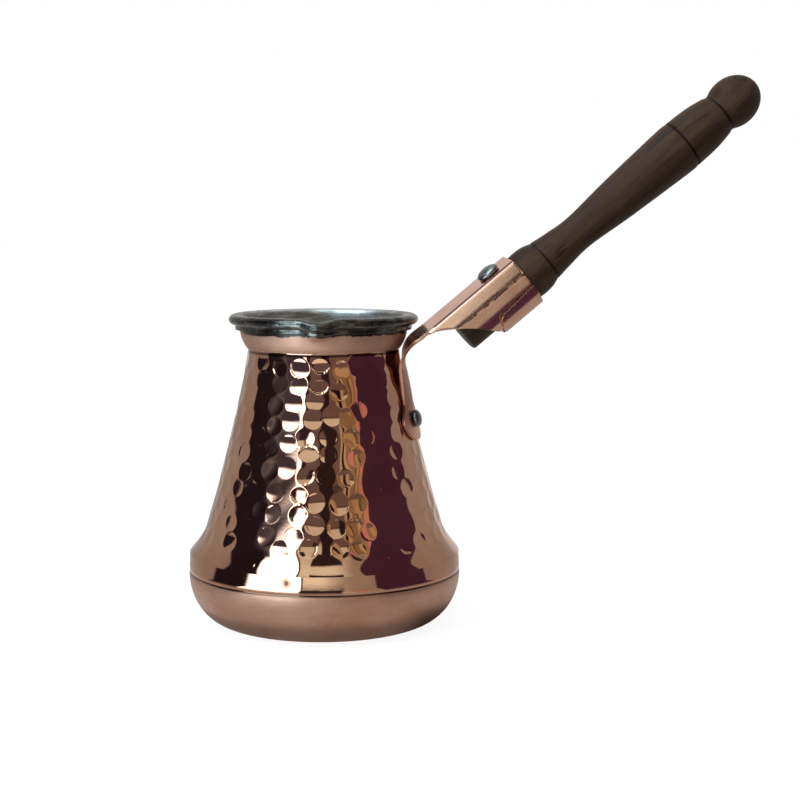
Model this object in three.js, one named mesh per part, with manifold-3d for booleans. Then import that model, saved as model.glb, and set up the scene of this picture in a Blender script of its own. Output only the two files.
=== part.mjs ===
// Hammered copper coffee pot with a riveted sheet bracket and a turned wooden handle.
// Millimetres, +Z up. The origin is the centre of the flat base. The pouring spout faces -Y
// and the handle leaves over the +X side.
import * as THREE from "three";
import { mergeVertices } from "three/addons/utils/BufferGeometryUtils.js";
import Module from "manifold-3d";

// Clearance between two pieces that touch on the real pot.
const fitGap = 0.3;

// Pot body: one raised copper shell.
const potWall = 1.1;
const baseRadius = 34.6;
const bellyRadius = 49.6;
const beltHeight = 18.6;
const beltLean = 2.4;
const stripHeight = 5.9;
const shoulderRadius = 43;
const shoulderHeight = 36;
const shoulderBulge = 3;
const shoulderFoot = 6;
const coneLean = 17;
const coneStraightness = 24;
const neckRadius = 27.5;
const neckHeight = 100.2;
const neckStraightness = 5;
const flareAngle = 38;
const flareEase = 0.4;
const rimRadius = 34.3;
const collarHeight = 12.5;
const rimHeight = neckHeight + collarHeight;
const beadRadius = 2.4;
const beadHalfHeight = 1.9;
const beadSweep = 252;
const hemLength = 1.6;
const spoutWidth = 16;
const spoutReach = 2.4;
const spoutDip = 1.1;
const spoutDepth = 9;

// Bracket: one sheet, riveted to the wall at its foot and wrapped round the tenon at its top.
const sheet = 1.2;
const footAzimuth = -14;
const footWidth = 18;
const footTipDrop = 7.4;
const rivetDrop = 25.2;
const footGrip = 6.5;
const footTipFlat = 0.05;
const strapWidth = 11;
const strapLean = 8.7;
const bendIn = 8;
const bendOut = 7;
const strapWidenFrom = 0.55;
const strapOverlap = 1.9;
const rimClearance = 3.1;
const ferruleRoll = 7;
const ferruleFlat = 12.6;
const creaseRadius = 1.1;
const wingLength = 37.4;
const wingStartReach = 3.8;
const ferruleReach = wingLength + wingStartReach;
const wingBow = 3;
const wingStartDrop = 0.5;
const wrapLength = 17;
const nearWrap = 150;
const farWrap = 268;
const lapFrom = 160;
const lapTo = 208;
const flapLength = 16.9;
const flapRise = 1.1;
const flapSlope = 1.2;
const flapCorner = 3.4;

// Handle: where its axis runs, then the turned shape, measured from the ferrule's mouth.
const handleYaw = 9.4;
const handleElevation = 39.4;
const handleOffset = 10.9;
const tenonRadius = 8.1;
const tenonLength = 30;
const tenonChamfer = 0.8;
const collarRadius = 9.35;
const collarLength = 10;
const collarRound = 0.3;
const collarGrooveRadius = 7.9;
const collarGrooveWidth = 1.2;
const waistRadius = 6.55;
const waistPlace = 27;
const waistHollow = 1.5;
const bellyHollow = 3.5;
const bellyTurnRadius = 9.55;
const bellyPlace = 70.5;
const ringGroovePlace = 75.8;
const ringGrooveDepth = 0.35;
const ringGrooveWidth = 1.6;
const handleNeckRadius = 7.4;
const handleNeckPlace = 93.7;
const handleNeckFillet = 2.4;
const knobRadius = 9.2;
const knobPlace = 100.6;
const handleLength = 111.3;

// Rivet through the foot and the wall, and the pin through the ferrule into the tenon.
const rivetHeadRadius = 3.15;
const rivetHeadRise = 2.3;
const rivetShankRadius = 1.5;
const rivetTailRadius = 2.6;
const rivetTailRise = 1.2;
const rivetTailFlat = 0.7;
const pinHeadRadius = 4.2;
const pinHeadRise = 2.3;
const pinShankRadius = 1.4;
const pinLength = 12;
const pinPointLength = 3;
const pinPointRadius = 0.5;
const pinPlace = 8.8;
const headEdge = 0.25;

// Facets: sides round an axis, and steps along each stretch of a curve.
const potSides = 56;
const handleSides = 26;
const rivetSides = 18;
const cornerSteps = 5;
const shoulderSteps = 6;
const coneSteps = 8;
const flareSteps = 4;
const beadSteps = 9;
const footSteps = 10;
const footCrowding = 0.15;
const strapSteps = 3;
const bendSteps = 8;
const strapHalfSteps = 4;
const creaseSteps = 3;
const wrapStep = 11;
const collarSteps = 6;
const shaftSteps = 15;
const tailSteps = 6;
const knobSteps = 10;
const headSteps = 6;
const cutterMargin = 30;

const degrees = Math.PI / 180;
const wasm = await Module();
wasm.setup();

function solidOf(geometry) {
  const bare = geometry.clone();
  bare.deleteAttribute("normal");
  bare.deleteAttribute("uv");
  const merged = mergeVertices(bare, 1e-4);
  return new wasm.Manifold(
    new wasm.Mesh({
      numProp: 3,
      vertProperties: merged.getAttribute("position").array,
      triVerts: new Uint32Array(merged.index.array),
    }),
  );
}

function geometryOf(solid) {
  const mesh = solid.getMesh();
  const geometry = new THREE.BufferGeometry();
  geometry.setAttribute("position", new THREE.BufferAttribute(mesh.vertProperties, 3));
  geometry.setIndex(new THREE.BufferAttribute(mesh.triVerts, 1));
  geometry.computeVertexNormals();
  return geometry;
}

// Revolves a profile of (radius, height) points round +Z.
function revolve(points, sides) {
  return new THREE.LatheGeometry(points, sides).rotateX(Math.PI / 2);
}

// Moves each point of an open line sideways, to its right as the line is walked.
function offsetLine(points, distance) {
  return points.map((point, i) => {
    const before = points[Math.max(i - 1, 0)];
    const after = points[Math.min(i + 1, points.length - 1)];
    const along = new THREE.Vector2().subVectors(after, before).normalize();
    return new THREE.Vector2(point.x + along.y * distance, point.y - along.x * distance);
  });
}

function smoothstep(from, to, value) {
  return THREE.MathUtils.smoothstep(value, from, to);
}

// The middle of the pot's sheet from the centre of the base to the neck crease.
function bodyLine() {
  const half = potWall / 2;
  const corner = new THREE.EllipseCurve(
    baseRadius,
    beltHeight,
    bellyRadius - baseRadius - half,
    beltHeight - half,
    -Math.PI / 2,
    0,
  );
  const meet = new THREE.Vector2(shoulderRadius - half, shoulderHeight);
  const up = new THREE.Vector2(-Math.tan(coneLean * degrees), 1);
  const neck = new THREE.Vector2(neckRadius - half, neckHeight);
  // Above the belt line a nearly upright strip, then a tight turn in to the cone.
  const beltUp = new THREE.Vector2(-Math.tan(beltLean * degrees), 1);
  const stripTop = new THREE.Vector2(bellyRadius - half, beltHeight).addScaledVector(beltUp, stripHeight);
  const shoulder = new THREE.CubicBezierCurve(
    stripTop,
    stripTop.clone().addScaledVector(beltUp, shoulderBulge),
    meet.clone().addScaledVector(up, -shoulderFoot),
    meet,
  );
  const cone = new THREE.CubicBezierCurve(
    meet,
    meet.clone().addScaledVector(up, coneStraightness),
    new THREE.Vector2(neck.x, neck.y - neckStraightness),
    neck,
  );
  return [
    new THREE.Vector2(0, half),
    ...corner.getPoints(cornerSteps),
    ...shoulder.getPoints(shoulderSteps),
    ...cone.getPoints(coneSteps).slice(1),
  ];
}

// The flared collar, the rolled bead and the hem that is tucked down outside the flare.
function rimLine() {
  const half = potWall / 2;
  const curl = beadRadius - half;
  const rise = beadHalfHeight - half;
  const centre = new THREE.Vector2(rimRadius - beadRadius, rimHeight - beadHalfHeight);
  const throat = new THREE.Vector2(centre.x - curl, centre.y);
  const neck = new THREE.Vector2(neckRadius - half, neckHeight);
  const lean = (centre.y - neckHeight) * flareEase;
  const flare = new THREE.CubicBezierCurve(
    neck,
    new THREE.Vector2(
      neck.x + lean * Math.sin(flareAngle * degrees),
      neck.y + lean * Math.cos(flareAngle * degrees),
    ),
    new THREE.Vector2(throat.x, throat.y - lean),
    throat,
  );
  const beadEnd = Math.PI - beadSweep * degrees;
  const bead = new THREE.EllipseCurve(centre.x, centre.y, curl, rise, Math.PI, beadEnd, true);
  const hemRadius = throat.x + potWall + fitGap;
  const hemTop = centre.y - rise - half;
  return [
    ...flare.getPoints(flareSteps).slice(1),
    ...bead.getPoints(beadSteps).slice(1),
    new THREE.Vector2(hemRadius, hemTop),
    new THREE.Vector2(hemRadius, hemTop - hemLength),
  ];
}

const bodyPoints = bodyLine();
const outerWall = offsetLine(bodyPoints, potWall / 2);

// Radius of the pot's outer wall at a height, and how far the wall leans in there.
function wallAt(height) {
  for (let i = 2; i < outerWall.length; i += 1) {
    const low = outerWall[i - 1];
    const high = outerWall[i];
    if (height <= high.y) {
      const share = (height - low.y) / (high.y - low.y);
      return {
        radius: THREE.MathUtils.lerp(low.x, high.x, share),
        lean: Math.atan2(low.x - high.x, high.y - low.y),
      };
    }
  }
  return { radius: neckRadius, lean: 0 };
}

// Presses the spout into the rim: outwards and a little down, fading into the collar below.
function pressSpout(geometry) {
  const place = geometry.getAttribute("position");
  const point = new THREE.Vector3();
  for (let i = 0; i < place.count; i += 1) {
    point.fromBufferAttribute(place, i);
    const across = Math.abs(point.x) / (spoutWidth / 2);
    if (point.y < 0 && across < 1) {
      const share = Math.cos((across * Math.PI) / 2) ** 2
        * smoothstep(rimHeight - spoutDepth, rimHeight - 2 * beadHalfHeight, point.z);
      place.setXYZ(i, point.x, point.y - spoutReach * share, point.z - spoutDip * share);
    }
  }
  return geometry;
}

// The rivet stands square to the wall. This is its frame: +Z out of the wall.
const rivetHeight = neckHeight - rivetDrop;
const rivetWall = wallAt(rivetHeight);
const rivetFrame = new THREE.Matrix4()
  .makeRotationZ(footAzimuth * degrees)
  .multiply(new THREE.Matrix4().makeTranslation(rivetWall.radius, 0, rivetHeight))
  .multiply(new THREE.Matrix4().makeRotationY(Math.PI / 2 - rivetWall.lean));

// The handle's frame: +X along its axis with the ferrule's mouth at 0, +Z out of the ferrule's
// flat top. The strap passes under the rim bead with rimClearance, and that fixes its height.
const beadCentre = rimRadius - beadRadius;
const ferruleTop = tenonRadius + fitGap + sheet;
const pinSeat = ferruleTop + fitGap;
const axisDrop = beadRadius + rimClearance + ferruleTop;
const handlePlane = new THREE.Matrix4()
  .makeRotationZ(handleYaw * degrees)
  .multiply(
    new THREE.Matrix4().makeTranslation(
      Math.sqrt(beadCentre ** 2 - handleOffset ** 2),
      -handleOffset,
      rimHeight - beadHalfHeight,
    ),
  )
  .multiply(new THREE.Matrix4().makeRotationY(-handleElevation * degrees));
const handleFrame = handlePlane
  .clone()
  .multiply(new THREE.Matrix4().makeTranslation(ferruleReach, 0, -axisDrop))
  .multiply(new THREE.Matrix4().makeRotationX(ferruleRoll * degrees));

function cylinder(radius, from, to) {
  return revolve(
    [
      new THREE.Vector2(0, from),
      new THREE.Vector2(radius, from),
      new THREE.Vector2(radius, to),
      new THREE.Vector2(0, to),
    ],
    rivetSides,
  );
}

const rivetHole = solidOf(
  cylinder(rivetShankRadius + fitGap, -cutterMargin / 2, cutterMargin / 2).applyMatrix4(rivetFrame),
);

function potBody() {
  const line = [...bodyPoints, ...rimLine()];
  const outer = offsetLine(line, potWall / 2);
  const inner = offsetLine(line, -potWall / 2).reverse();
  const shell = pressSpout(revolve([...outer, ...inner], potSides));
  return geometryOf(solidOf(shell).subtract(rivetHole));
}

// A closed sheet of even thickness round a grid of points: rows run along, columns across.
function thickSheet(rows, thickness) {
  const columns = rows[0].length;
  const sides = [[], []];
  rows.forEach((row, i) => {
    row.forEach((point, j) => {
      const along = rows[Math.min(i + 1, rows.length - 1)][j]
        .clone()
        .sub(rows[Math.max(i - 1, 0)][j]);
      const across = row[Math.min(j + 1, columns - 1)].clone().sub(row[Math.max(j - 1, 0)]);
      const normal = along.cross(across).normalize();
      sides[0].push(point.clone().addScaledVector(normal, thickness / 2));
      sides[1].push(point.clone().addScaledVector(normal, -thickness / 2));
    });
  });
  const count = rows.length * columns;
  const index = [];
  const quad = (a, b, c, d) => index.push(a, b, c, a, c, d);
  for (let i = 0; i < rows.length - 1; i += 1) {
    for (let j = 0; j < columns - 1; j += 1) {
      const a = i * columns + j;
      quad(a, a + columns, a + columns + 1, a + 1);
      quad(count + a, count + a + 1, count + a + columns + 1, count + a + columns);
    }
  }
  for (let i = 0; i < rows.length - 1; i += 1) {
    const left = i * columns;
    const right = left + columns - 1;
    quad(left, count + left, count + left + columns, left + columns);
    quad(right, right + columns, count + right + columns, count + right);
  }
  for (let j = 0; j < columns - 1; j += 1) {
    const last = (rows.length - 1) * columns + j;
    quad(j, j + 1, count + j + 1, count + j);
    quad(last, count + last, count + last + 1, last + 1);
  }
  const geometry = new THREE.BufferGeometry();
  const flat = [...sides[0], ...sides[1]].flatMap((point) => point.toArray());
  geometry.setAttribute("position", new THREE.Float32BufferAttribute(flat, 3));
  geometry.setIndex(index);
  return geometry;
}

// One cross row of the strap: centre, direction across, direction out of the pot, half width
// and how much the row bends round the pot.
function strapRow(centre, across, out, halfWidth, bend) {
  const row = [];
  for (let j = -strapHalfSteps; j <= strapHalfSteps; j += 1) {
    const q = (halfWidth * j) / strapHalfSteps;
    const side = bend > 1e-6 ? Math.sin(bend * q) / bend : q;
    const sag = bend > 1e-6 ? (1 - Math.cos(bend * q)) / bend : 0;
    row.push(centre.clone().addScaledVector(across, side).addScaledVector(out, -sag));
  }
  return row;
}

// A point on the middle of the foot's sheet, and the frame there.
function footStation(height) {
  const wall = wallAt(height);
  const turn = new THREE.Matrix4().makeRotationZ(footAzimuth * degrees);
  const out = new THREE.Vector3(Math.cos(wall.lean), 0, Math.sin(wall.lean)).transformDirection(turn);
  const across = new THREE.Vector3(0, 1, 0).transformDirection(turn);
  const centre = new THREE.Vector3(wall.radius, 0, height)
    .applyMatrix4(turn)
    .addScaledVector(out, fitGap + sheet / 2);
  return { centre, across, out, bend: Math.cos(wall.lean) / wall.radius };
}

// The foot lies on the wall up to the end of its grip. The strap then peels off the wall in a
// straight run, bends outwards under the rim and runs straight into the ferrule's flat top.
function strapSheet() {
  const rows = [];
  const tip = rivetHeight - footTipDrop;
  const gripEnd = rivetHeight + footGrip;
  for (let i = 0; i <= footSteps; i += 1) {
    // The rows crowd together at the round tip.
    const share = i / footSteps;
    const eased = share * THREE.MathUtils.lerp(footCrowding, 1, share);
    const height = THREE.MathUtils.lerp(tip, gripEnd, eased);
    const belowRivet = Math.max(rivetHeight - height, 0) / (footTipDrop + footTipFlat);
    const round = Math.sqrt(1 - belowRivet ** 2);
    const neckIn = smoothstep(rivetHeight, gripEnd, height);
    const half = THREE.MathUtils.lerp((footWidth / 2) * round, strapWidth / 2, neckIn);
    const { centre, across, out, bend } = footStation(height);
    rows.push(strapRow(centre, across, out, half, bend));
  }
  const start = footStation(gripEnd);
  const lean = new THREE.Vector3(-Math.sin(strapLean * degrees), 0, Math.cos(strapLean * degrees));
  const rise = lean.transformDirection(new THREE.Matrix4().makeRotationZ(footAzimuth * degrees));

  // In the handle's vertical plane the rising run meets the ferrule's line at the corner.
  const toPlane = handlePlane.clone().invert();
  const from = start.centre.clone().applyMatrix4(toPlane);
  const heading = rise.clone().transformDirection(toPlane);
  const lineHeight = -(beadRadius + rimClearance + sheet / 2);
  const run = (lineHeight - from.z) / heading.z;
  const cornerX = from.x + heading.x * run;
  const corner = new THREE.Vector3(cornerX, 0, lineHeight).applyMatrix4(handlePlane);
  const straight = new THREE.Vector3(1, 0, 0).transformDirection(handlePlane);
  const incoming = corner.clone().sub(start.centre);
  const riseLength = incoming.length();
  incoming.normalize();

  const wingStart = new THREE.Vector3(-wingLength, 0, ferruleTop - sheet / 2).applyMatrix4(handleFrame);
  const bendStart = corner.clone().addScaledVector(incoming, -bendIn);
  const bendEnd = corner.clone().addScaledVector(straight, bendOut);
  const bendCurve = new THREE.QuadraticBezierCurve3(bendStart, corner, bendEnd);
  const farAcross = new THREE.Vector3(0, 1, 0).transformDirection(handleFrame);

  const centres = [];
  for (let i = 1; i < strapSteps; i += 1) {
    const share = (i / strapSteps) * (riseLength - bendIn);
    centres.push(start.centre.clone().addScaledVector(incoming, share));
  }
  centres.push(...bendCurve.getPoints(bendSteps));
  for (let i = 1; i <= strapSteps; i += 1) {
    centres.push(bendEnd.clone().lerp(wingStart, i / strapSteps));
  }
  centres.push(wingStart.clone().addScaledVector(straight, strapOverlap));

  centres.forEach((centre, i) => {
    const share = (i + 1) / (centres.length - 1);
    const turned = smoothstep(0, 1, share);
    const ahead = (centres[i + 1] ?? centre.clone().add(straight))
      .clone()
      .sub(centres[i - 1] ?? start.centre)
      .normalize();
    const across = start.across.clone().lerp(farAcross, turned);
    across.addScaledVector(ahead, -across.dot(ahead)).normalize();
    const out = across.clone().cross(ahead).normalize();
    const widen = smoothstep(strapWidenFrom, 1, share);
    const half = THREE.MathUtils.lerp(strapWidth / 2, ferruleFlat / 2, widen);
    rows.push(strapRow(centre, across, out, half, start.bend * (1 - turned)));
  });
  return thickSheet(rows, sheet);
}

// Half of the ferrule's section in the plane across its axis, as the middle of the sheet: flat
// top, crease, straight flank, then round the tenon. It ends at an angle past the top.
// side is -1 for the near half. Past the bottom the far half lies outside the near one.
function wrapLine(side, endAngle, layers) {
  const round = tenonRadius + fitGap + sheet / 2;
  const top = ferruleTop - sheet / 2;
  const corner = new THREE.Vector2(ferruleFlat / 2, top);
  const cornerAngle = Math.atan2(corner.x, corner.y);
  const touch = cornerAngle + Math.acos(round / corner.length());
  const flank = new THREE.Vector2(Math.sin(touch) * round, Math.cos(touch) * round);
  const down = flank.clone().sub(corner).normalize();
  const crease = new THREE.QuadraticBezierCurve(
    new THREE.Vector2(corner.x - creaseRadius, top),
    corner,
    corner.clone().addScaledVector(down, creaseRadius),
  );
  const points = [new THREE.Vector2(0, top), ...crease.getPoints(creaseSteps)];
  const steps = Math.ceil((endAngle - touch) / (wrapStep * degrees));
  for (let i = 0; i <= steps; i += 1) {
    const angle = THREE.MathUtils.lerp(touch, endAngle, i / steps);
    const lapped = smoothstep(lapFrom * degrees, lapTo * degrees, angle);
    const grow = layers * (sheet + fitGap) * lapped;
    points.push(new THREE.Vector2(Math.sin(angle), Math.cos(angle)).multiplyScalar(round + grow));
  }
  return points.map((point) => new THREE.Vector2(point.x * side, point.y));
}

// Extrudes a section line, thickened to the sheet, from the wing's start to the mouth.
function wrapSolid(line, length) {
  const left = offsetLine(line, sheet / 2);
  const right = offsetLine(line, -sheet / 2).reverse();
  const shape = new THREE.Shape([...left, ...right]);
  const bar = new THREE.ExtrudeGeometry(shape, { depth: length, bevelEnabled: false });
  // The shape's plane is turned across the handle's axis, with its depth running back to -X.
  const turn = new THREE.Matrix4().makeBasis(
    new THREE.Vector3(0, 1, 0),
    new THREE.Vector3(0, 0, 1),
    new THREE.Vector3(1, 0, 0),
  );
  return solidOf(bar.applyMatrix4(turn).translate(-length, 0, 0));
}

// A cutter made from an outline in the side view, (along the axis, above the axis), spread
// across the ferrule between two places.
function sideCutter(shape, fromAcross, toAcross) {
  const slab = new THREE.ExtrudeGeometry(shape, {
    depth: toAcross - fromAcross,
    bevelEnabled: false,
    curveSegments: 8,
  });
  return solidOf(slab.rotateX(Math.PI / 2).translate(0, toAcross, 0));
}

// The wings are cut back along a slanting line, from the crease at the strap's end down to the
// place where the ferrule closes round the tenon.
function wingCutter() {
  const round = ferruleTop + sheet + fitGap;
  const start = ferruleTop - sheet - wingStartDrop;
  const outline = new THREE.Shape();
  outline.moveTo(-wingLength, start);
  outline.quadraticCurveTo(
    (-wingLength - wrapLength) / 2 + wingBow,
    (start - round) / 2 + wingBow,
    -wrapLength,
    -round,
  );
  outline.lineTo(-wrapLength, -cutterMargin);
  outline.lineTo(-wingLength - cutterMargin, -cutterMargin);
  outline.lineTo(-wingLength - cutterMargin, start);
  return sideCutter(outline, -cutterMargin, cutterMargin);
}

// What is taken off the flap where it comes up outside the near wall: all between its free edge
// and the axis. The edge falls away from the mouth to a round corner at the front.
function flapCutter() {
  const front = -flapLength;
  const frontEdge = -flapRise - flapSlope;
  const outline = new THREE.Shape();
  outline.moveTo(cutterMargin, -flapRise);
  outline.lineTo(0, -flapRise);
  outline.lineTo(front + flapCorner, frontEdge);
  outline.quadraticCurveTo(front, frontEdge, front, frontEdge - flapCorner);
  outline.lineTo(front, -cutterMargin);
  outline.lineTo(-wingLength - cutterMargin, -cutterMargin);
  outline.lineTo(-wingLength - cutterMargin, 0);
  outline.lineTo(cutterMargin, 0);
  return sideCutter(outline, -cutterMargin, 0);
}

function bracket() {
  const near = wrapSolid(wrapLine(-1, nearWrap * degrees, 0).reverse(), wingLength);
  const far = wrapSolid(wrapLine(1, farWrap * degrees, 1), wingLength).subtract(flapCutter());
  const ferrule = near.add(far).subtract(wingCutter());
  const pinHole = solidOf(cylinder(pinShankRadius + fitGap, 0, cutterMargin).translate(-pinPlace, 0, 0));
  const placed = solidOf(geometryOf(ferrule.subtract(pinHole)).applyMatrix4(handleFrame));
  return geometryOf(placed.add(solidOf(strapSheet())).subtract(rivetHole));
}

// The turned handle, as a profile of (radius, distance along the axis) from the tenon's end.
function handleProfile() {
  const collarEnd = collarLength - collarGrooveWidth / 2;
  const collar = new THREE.SplineCurve([
    new THREE.Vector2(collarRadius - collarRound / 2, fitGap),
    new THREE.Vector2(collarRadius, collarLength / 3),
    new THREE.Vector2(collarRadius - collarRound, (2 * collarLength) / 3),
    new THREE.Vector2(collarGrooveRadius + collarRound, collarEnd),
  ]);
  const shaft = new THREE.SplineCurve([
    new THREE.Vector2(collarGrooveRadius + collarRound / 2, collarLength + collarGrooveWidth / 2),
    new THREE.Vector2(
      (collarGrooveRadius + waistRadius) / 2,
      (collarLength + waistPlace) / 2 - waistHollow,
    ),
    new THREE.Vector2(waistRadius, waistPlace),
    new THREE.Vector2(
      (waistRadius + bellyTurnRadius) / 2,
      (waistPlace + bellyPlace) / 2 - bellyHollow,
    ),
    new THREE.Vector2(bellyTurnRadius, bellyPlace),
    new THREE.Vector2(bellyTurnRadius, ringGroovePlace - ringGrooveWidth / 2),
  ]);
  const tail = new THREE.SplineCurve([
    new THREE.Vector2(bellyTurnRadius, ringGroovePlace + ringGrooveWidth / 2),
    new THREE.Vector2(bellyTurnRadius - ringGrooveDepth, (ringGroovePlace + handleNeckPlace) / 2),
    new THREE.Vector2(handleNeckRadius + handleNeckFillet / 3, handleNeckPlace - handleNeckFillet),
    new THREE.Vector2(handleNeckRadius, handleNeckPlace),
  ]);
  const knobHalf = handleLength - knobPlace;
  const neckAngle = -Math.acos(handleNeckRadius / knobRadius);
  const knob = new THREE.EllipseCurve(0, knobPlace, knobRadius, knobHalf, neckAngle, Math.PI / 2);
  return [
    new THREE.Vector2(0, -tenonLength),
    new THREE.Vector2(tenonRadius - tenonChamfer, -tenonLength),
    new THREE.Vector2(tenonRadius, -tenonLength + tenonChamfer),
    new THREE.Vector2(tenonRadius, fitGap),
    ...collar.getPoints(collarSteps),
    new THREE.Vector2(collarGrooveRadius, collarLength),
    ...shaft.getPoints(shaftSteps),
    new THREE.Vector2(bellyTurnRadius - ringGrooveDepth, ringGroovePlace),
    ...tail.getPoints(tailSteps),
    ...knob.getPoints(knobSteps).slice(1, -1),
    new THREE.Vector2(0, handleLength),
  ];
}

function woodenHandle() {
  const turned = revolve(handleProfile(), handleSides);
  // The profile's height runs along the handle's own +X.
  turned.applyMatrix4(
    new THREE.Matrix4().makeBasis(
      new THREE.Vector3(0, 1, 0),
      new THREE.Vector3(0, 0, 1),
      new THREE.Vector3(1, 0, 0),
    ),
  );
  // The pin's hole ends one gap below its point.
  const holeEnd = pinSeat - pinLength - fitGap;
  const hole = cylinder(pinShankRadius + fitGap, holeEnd, cutterMargin).translate(-pinPlace, 0, 0);
  return geometryOf(solidOf(turned).subtract(solidOf(hole)));
}

// A domed head, flat below, as profile points from its rim to its crown.
function dome(radius, rise, seat) {
  const edge = rise * headEdge;
  const curve = new THREE.EllipseCurve(0, seat + edge, radius, rise - edge, 0, Math.PI / 2);
  return curve.getPoints(headSteps);
}

function bodyRivet() {
  const seat = fitGap * 2 + sheet;
  const inside = -(potWall + fitGap);
  return revolve(
    [
      new THREE.Vector2(0, inside - rivetTailRise),
      new THREE.Vector2(rivetTailRadius * rivetTailFlat, inside - rivetTailRise),
      new THREE.Vector2(rivetTailRadius, inside - rivetTailRise / 2),
      new THREE.Vector2(rivetTailRadius, inside),
      new THREE.Vector2(rivetShankRadius, inside),
      new THREE.Vector2(rivetShankRadius, seat),
      new THREE.Vector2(rivetHeadRadius, seat),
      ...dome(rivetHeadRadius, rivetHeadRise, seat).slice(0, -1),
      new THREE.Vector2(0, seat + rivetHeadRise),
    ],
    rivetSides,
  );
}

function handlePin() {
  return revolve(
    [
      new THREE.Vector2(0, -pinLength),
      new THREE.Vector2(pinPointRadius, -pinLength),
      new THREE.Vector2(pinShankRadius, -pinLength + pinPointLength),
      new THREE.Vector2(pinShankRadius, 0),
      new THREE.Vector2(pinHeadRadius, 0),
      ...dome(pinHeadRadius, pinHeadRise, 0).slice(0, -1),
      new THREE.Vector2(0, pinHeadRise),
    ],
    rivetSides,
  );
}

const copper = { color: 0xc98a68, roughness: 0.22, metalness: 1 };
const walnut = { color: 0x3f2e24, roughness: 0.55, metalness: 0 };
const steel = { color: 0x6f7a7c, roughness: 0.35, metalness: 1 };

function piece(name, geometry, look) {
  const mesh = new THREE.Mesh(geometry, new THREE.MeshStandardMaterial(look));
  mesh.name = name;
  return mesh;
}

const coffeePot = new THREE.Group();
coffeePot.add(piece("pot_body", potBody(), copper));
coffeePot.add(piece("handle_bracket", bracket(), copper));

const rivetPlace = new THREE.Group();
rivetPlace.applyMatrix4(rivetFrame);
rivetPlace.add(piece("body_rivet", bodyRivet(), steel));
coffeePot.add(rivetPlace);

const handlePlace = new THREE.Group();
handlePlace.applyMatrix4(handleFrame);
handlePlace.add(piece("wooden_handle", woodenHandle(), walnut));
const pin = piece("handle_pin", handlePin(), steel);
pin.position.set(-pinPlace, 0, pinSeat);
handlePlace.add(pin);
coffeePot.add(handlePlace);

export default coffeePot;
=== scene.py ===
"""Dresses the hammered copper coffee pot: fine meshes, finishes, studio and camera.

Sizes are in millimetres in the pot's own frame: origin at the centre of the base, +Z up,
spout towards -Y, handle over +X. Every mesh is scaled to metres when it is made.
"""
import random
from math import acos, atan2, cos, degrees, hypot, pi, radians, remainder, sin, sqrt, tan

import bmesh
import bpy
import numpy as np
from mathutils import Matrix, Vector


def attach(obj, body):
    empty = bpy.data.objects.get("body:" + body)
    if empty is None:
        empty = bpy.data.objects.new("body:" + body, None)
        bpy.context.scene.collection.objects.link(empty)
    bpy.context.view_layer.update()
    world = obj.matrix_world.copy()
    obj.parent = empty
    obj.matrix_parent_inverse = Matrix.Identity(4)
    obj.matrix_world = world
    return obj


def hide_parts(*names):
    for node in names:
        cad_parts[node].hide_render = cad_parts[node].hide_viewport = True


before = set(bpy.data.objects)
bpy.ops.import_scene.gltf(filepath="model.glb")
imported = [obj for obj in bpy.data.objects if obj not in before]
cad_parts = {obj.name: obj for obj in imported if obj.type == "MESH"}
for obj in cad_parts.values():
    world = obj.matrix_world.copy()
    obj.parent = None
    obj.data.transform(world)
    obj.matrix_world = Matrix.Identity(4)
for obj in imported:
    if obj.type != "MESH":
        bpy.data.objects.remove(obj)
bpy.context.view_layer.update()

MM = 0.001

# Pot body
POT_WALL = 1.1
BASE_RADIUS = 34.6
BELLY_RADIUS = 49.59
BELT_HEIGHT = 18.6
BELT_EDGE = 19.2
BELT_GROOVE = 0.16
BELT_GROOVE_WIDTH = 0.7
BELT_LIP = 0.16
BELT_LIP_WIDTH = 2.0
BELT_LIP_CURVE = 1.3
SHOULDER_RADIUS = 43.0
SHOULDER_HEIGHT = 36.0
BELT_LEAN = 2.4
CREASE_HEIGHT = 25.8
CREASE_LEAN = 36.0
CREASE_ROWS = (0.9, 0.05)
STRIP_STEPS = 8
SHOULDER_BULGE = 3.0
SHOULDER_FOOT = 5.0
CONE_LEAN = 17.0
CONE_STRAIGHTNESS = 24.0
NECK_RADIUS = 27.5
NECK_HEIGHT = 100.2
NECK_STRAIGHTNESS = 5.0
FLARE_ANGLE = 38.0
FLARE_EASE = 0.4
RIM_RADIUS = 34.3
COLLAR_HEIGHT = 12.5
RIM_HEIGHT = NECK_HEIGHT + COLLAR_HEIGHT
BEAD_RADIUS = 2.4
BEAD_HALF_HEIGHT = 1.9
BEAD_SWEEP = 252.0
HEM_LENGTH = 1.6
FIT_GAP = 0.3
SPOUT_WIDTH = 16.0
SPOUT_REACH = 2.4
SPOUT_DIP = 1.1
SPOUT_DEPTH = 9.0
TIN_EDGE = 106.3
CORNER_STEPS = 24
SHOULDER_STEPS = 40
CONE_STEPS = 80
FLARE_STEPS = 14
BEAD_STEPS = 26
HEM_STEPS = 8
POT_SIDES = 720
POT_ANGLES = np.arange(POT_SIDES) * 2 * pi / POT_SIDES
BASE_STEP = 1.2
WALL_STEP = 0.4
INNER_STEP = 1.6
WAVE_COUNT = 7
WAVE_PITCHES = (0.6, 1.5)
WAVE_PHASES = (0, 6.28)
# Waves in the beaten sheet: height, seed, and their pitch in rows and in sides.
WALL_WAVES = (0.10, 3, 26, 44)
WALL_WAVES_FADE = 8
RIM_WAVES = (0.16, 5, 30, 34)
RIM_TREMOR = (0.10, 6, 9, 12)

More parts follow.
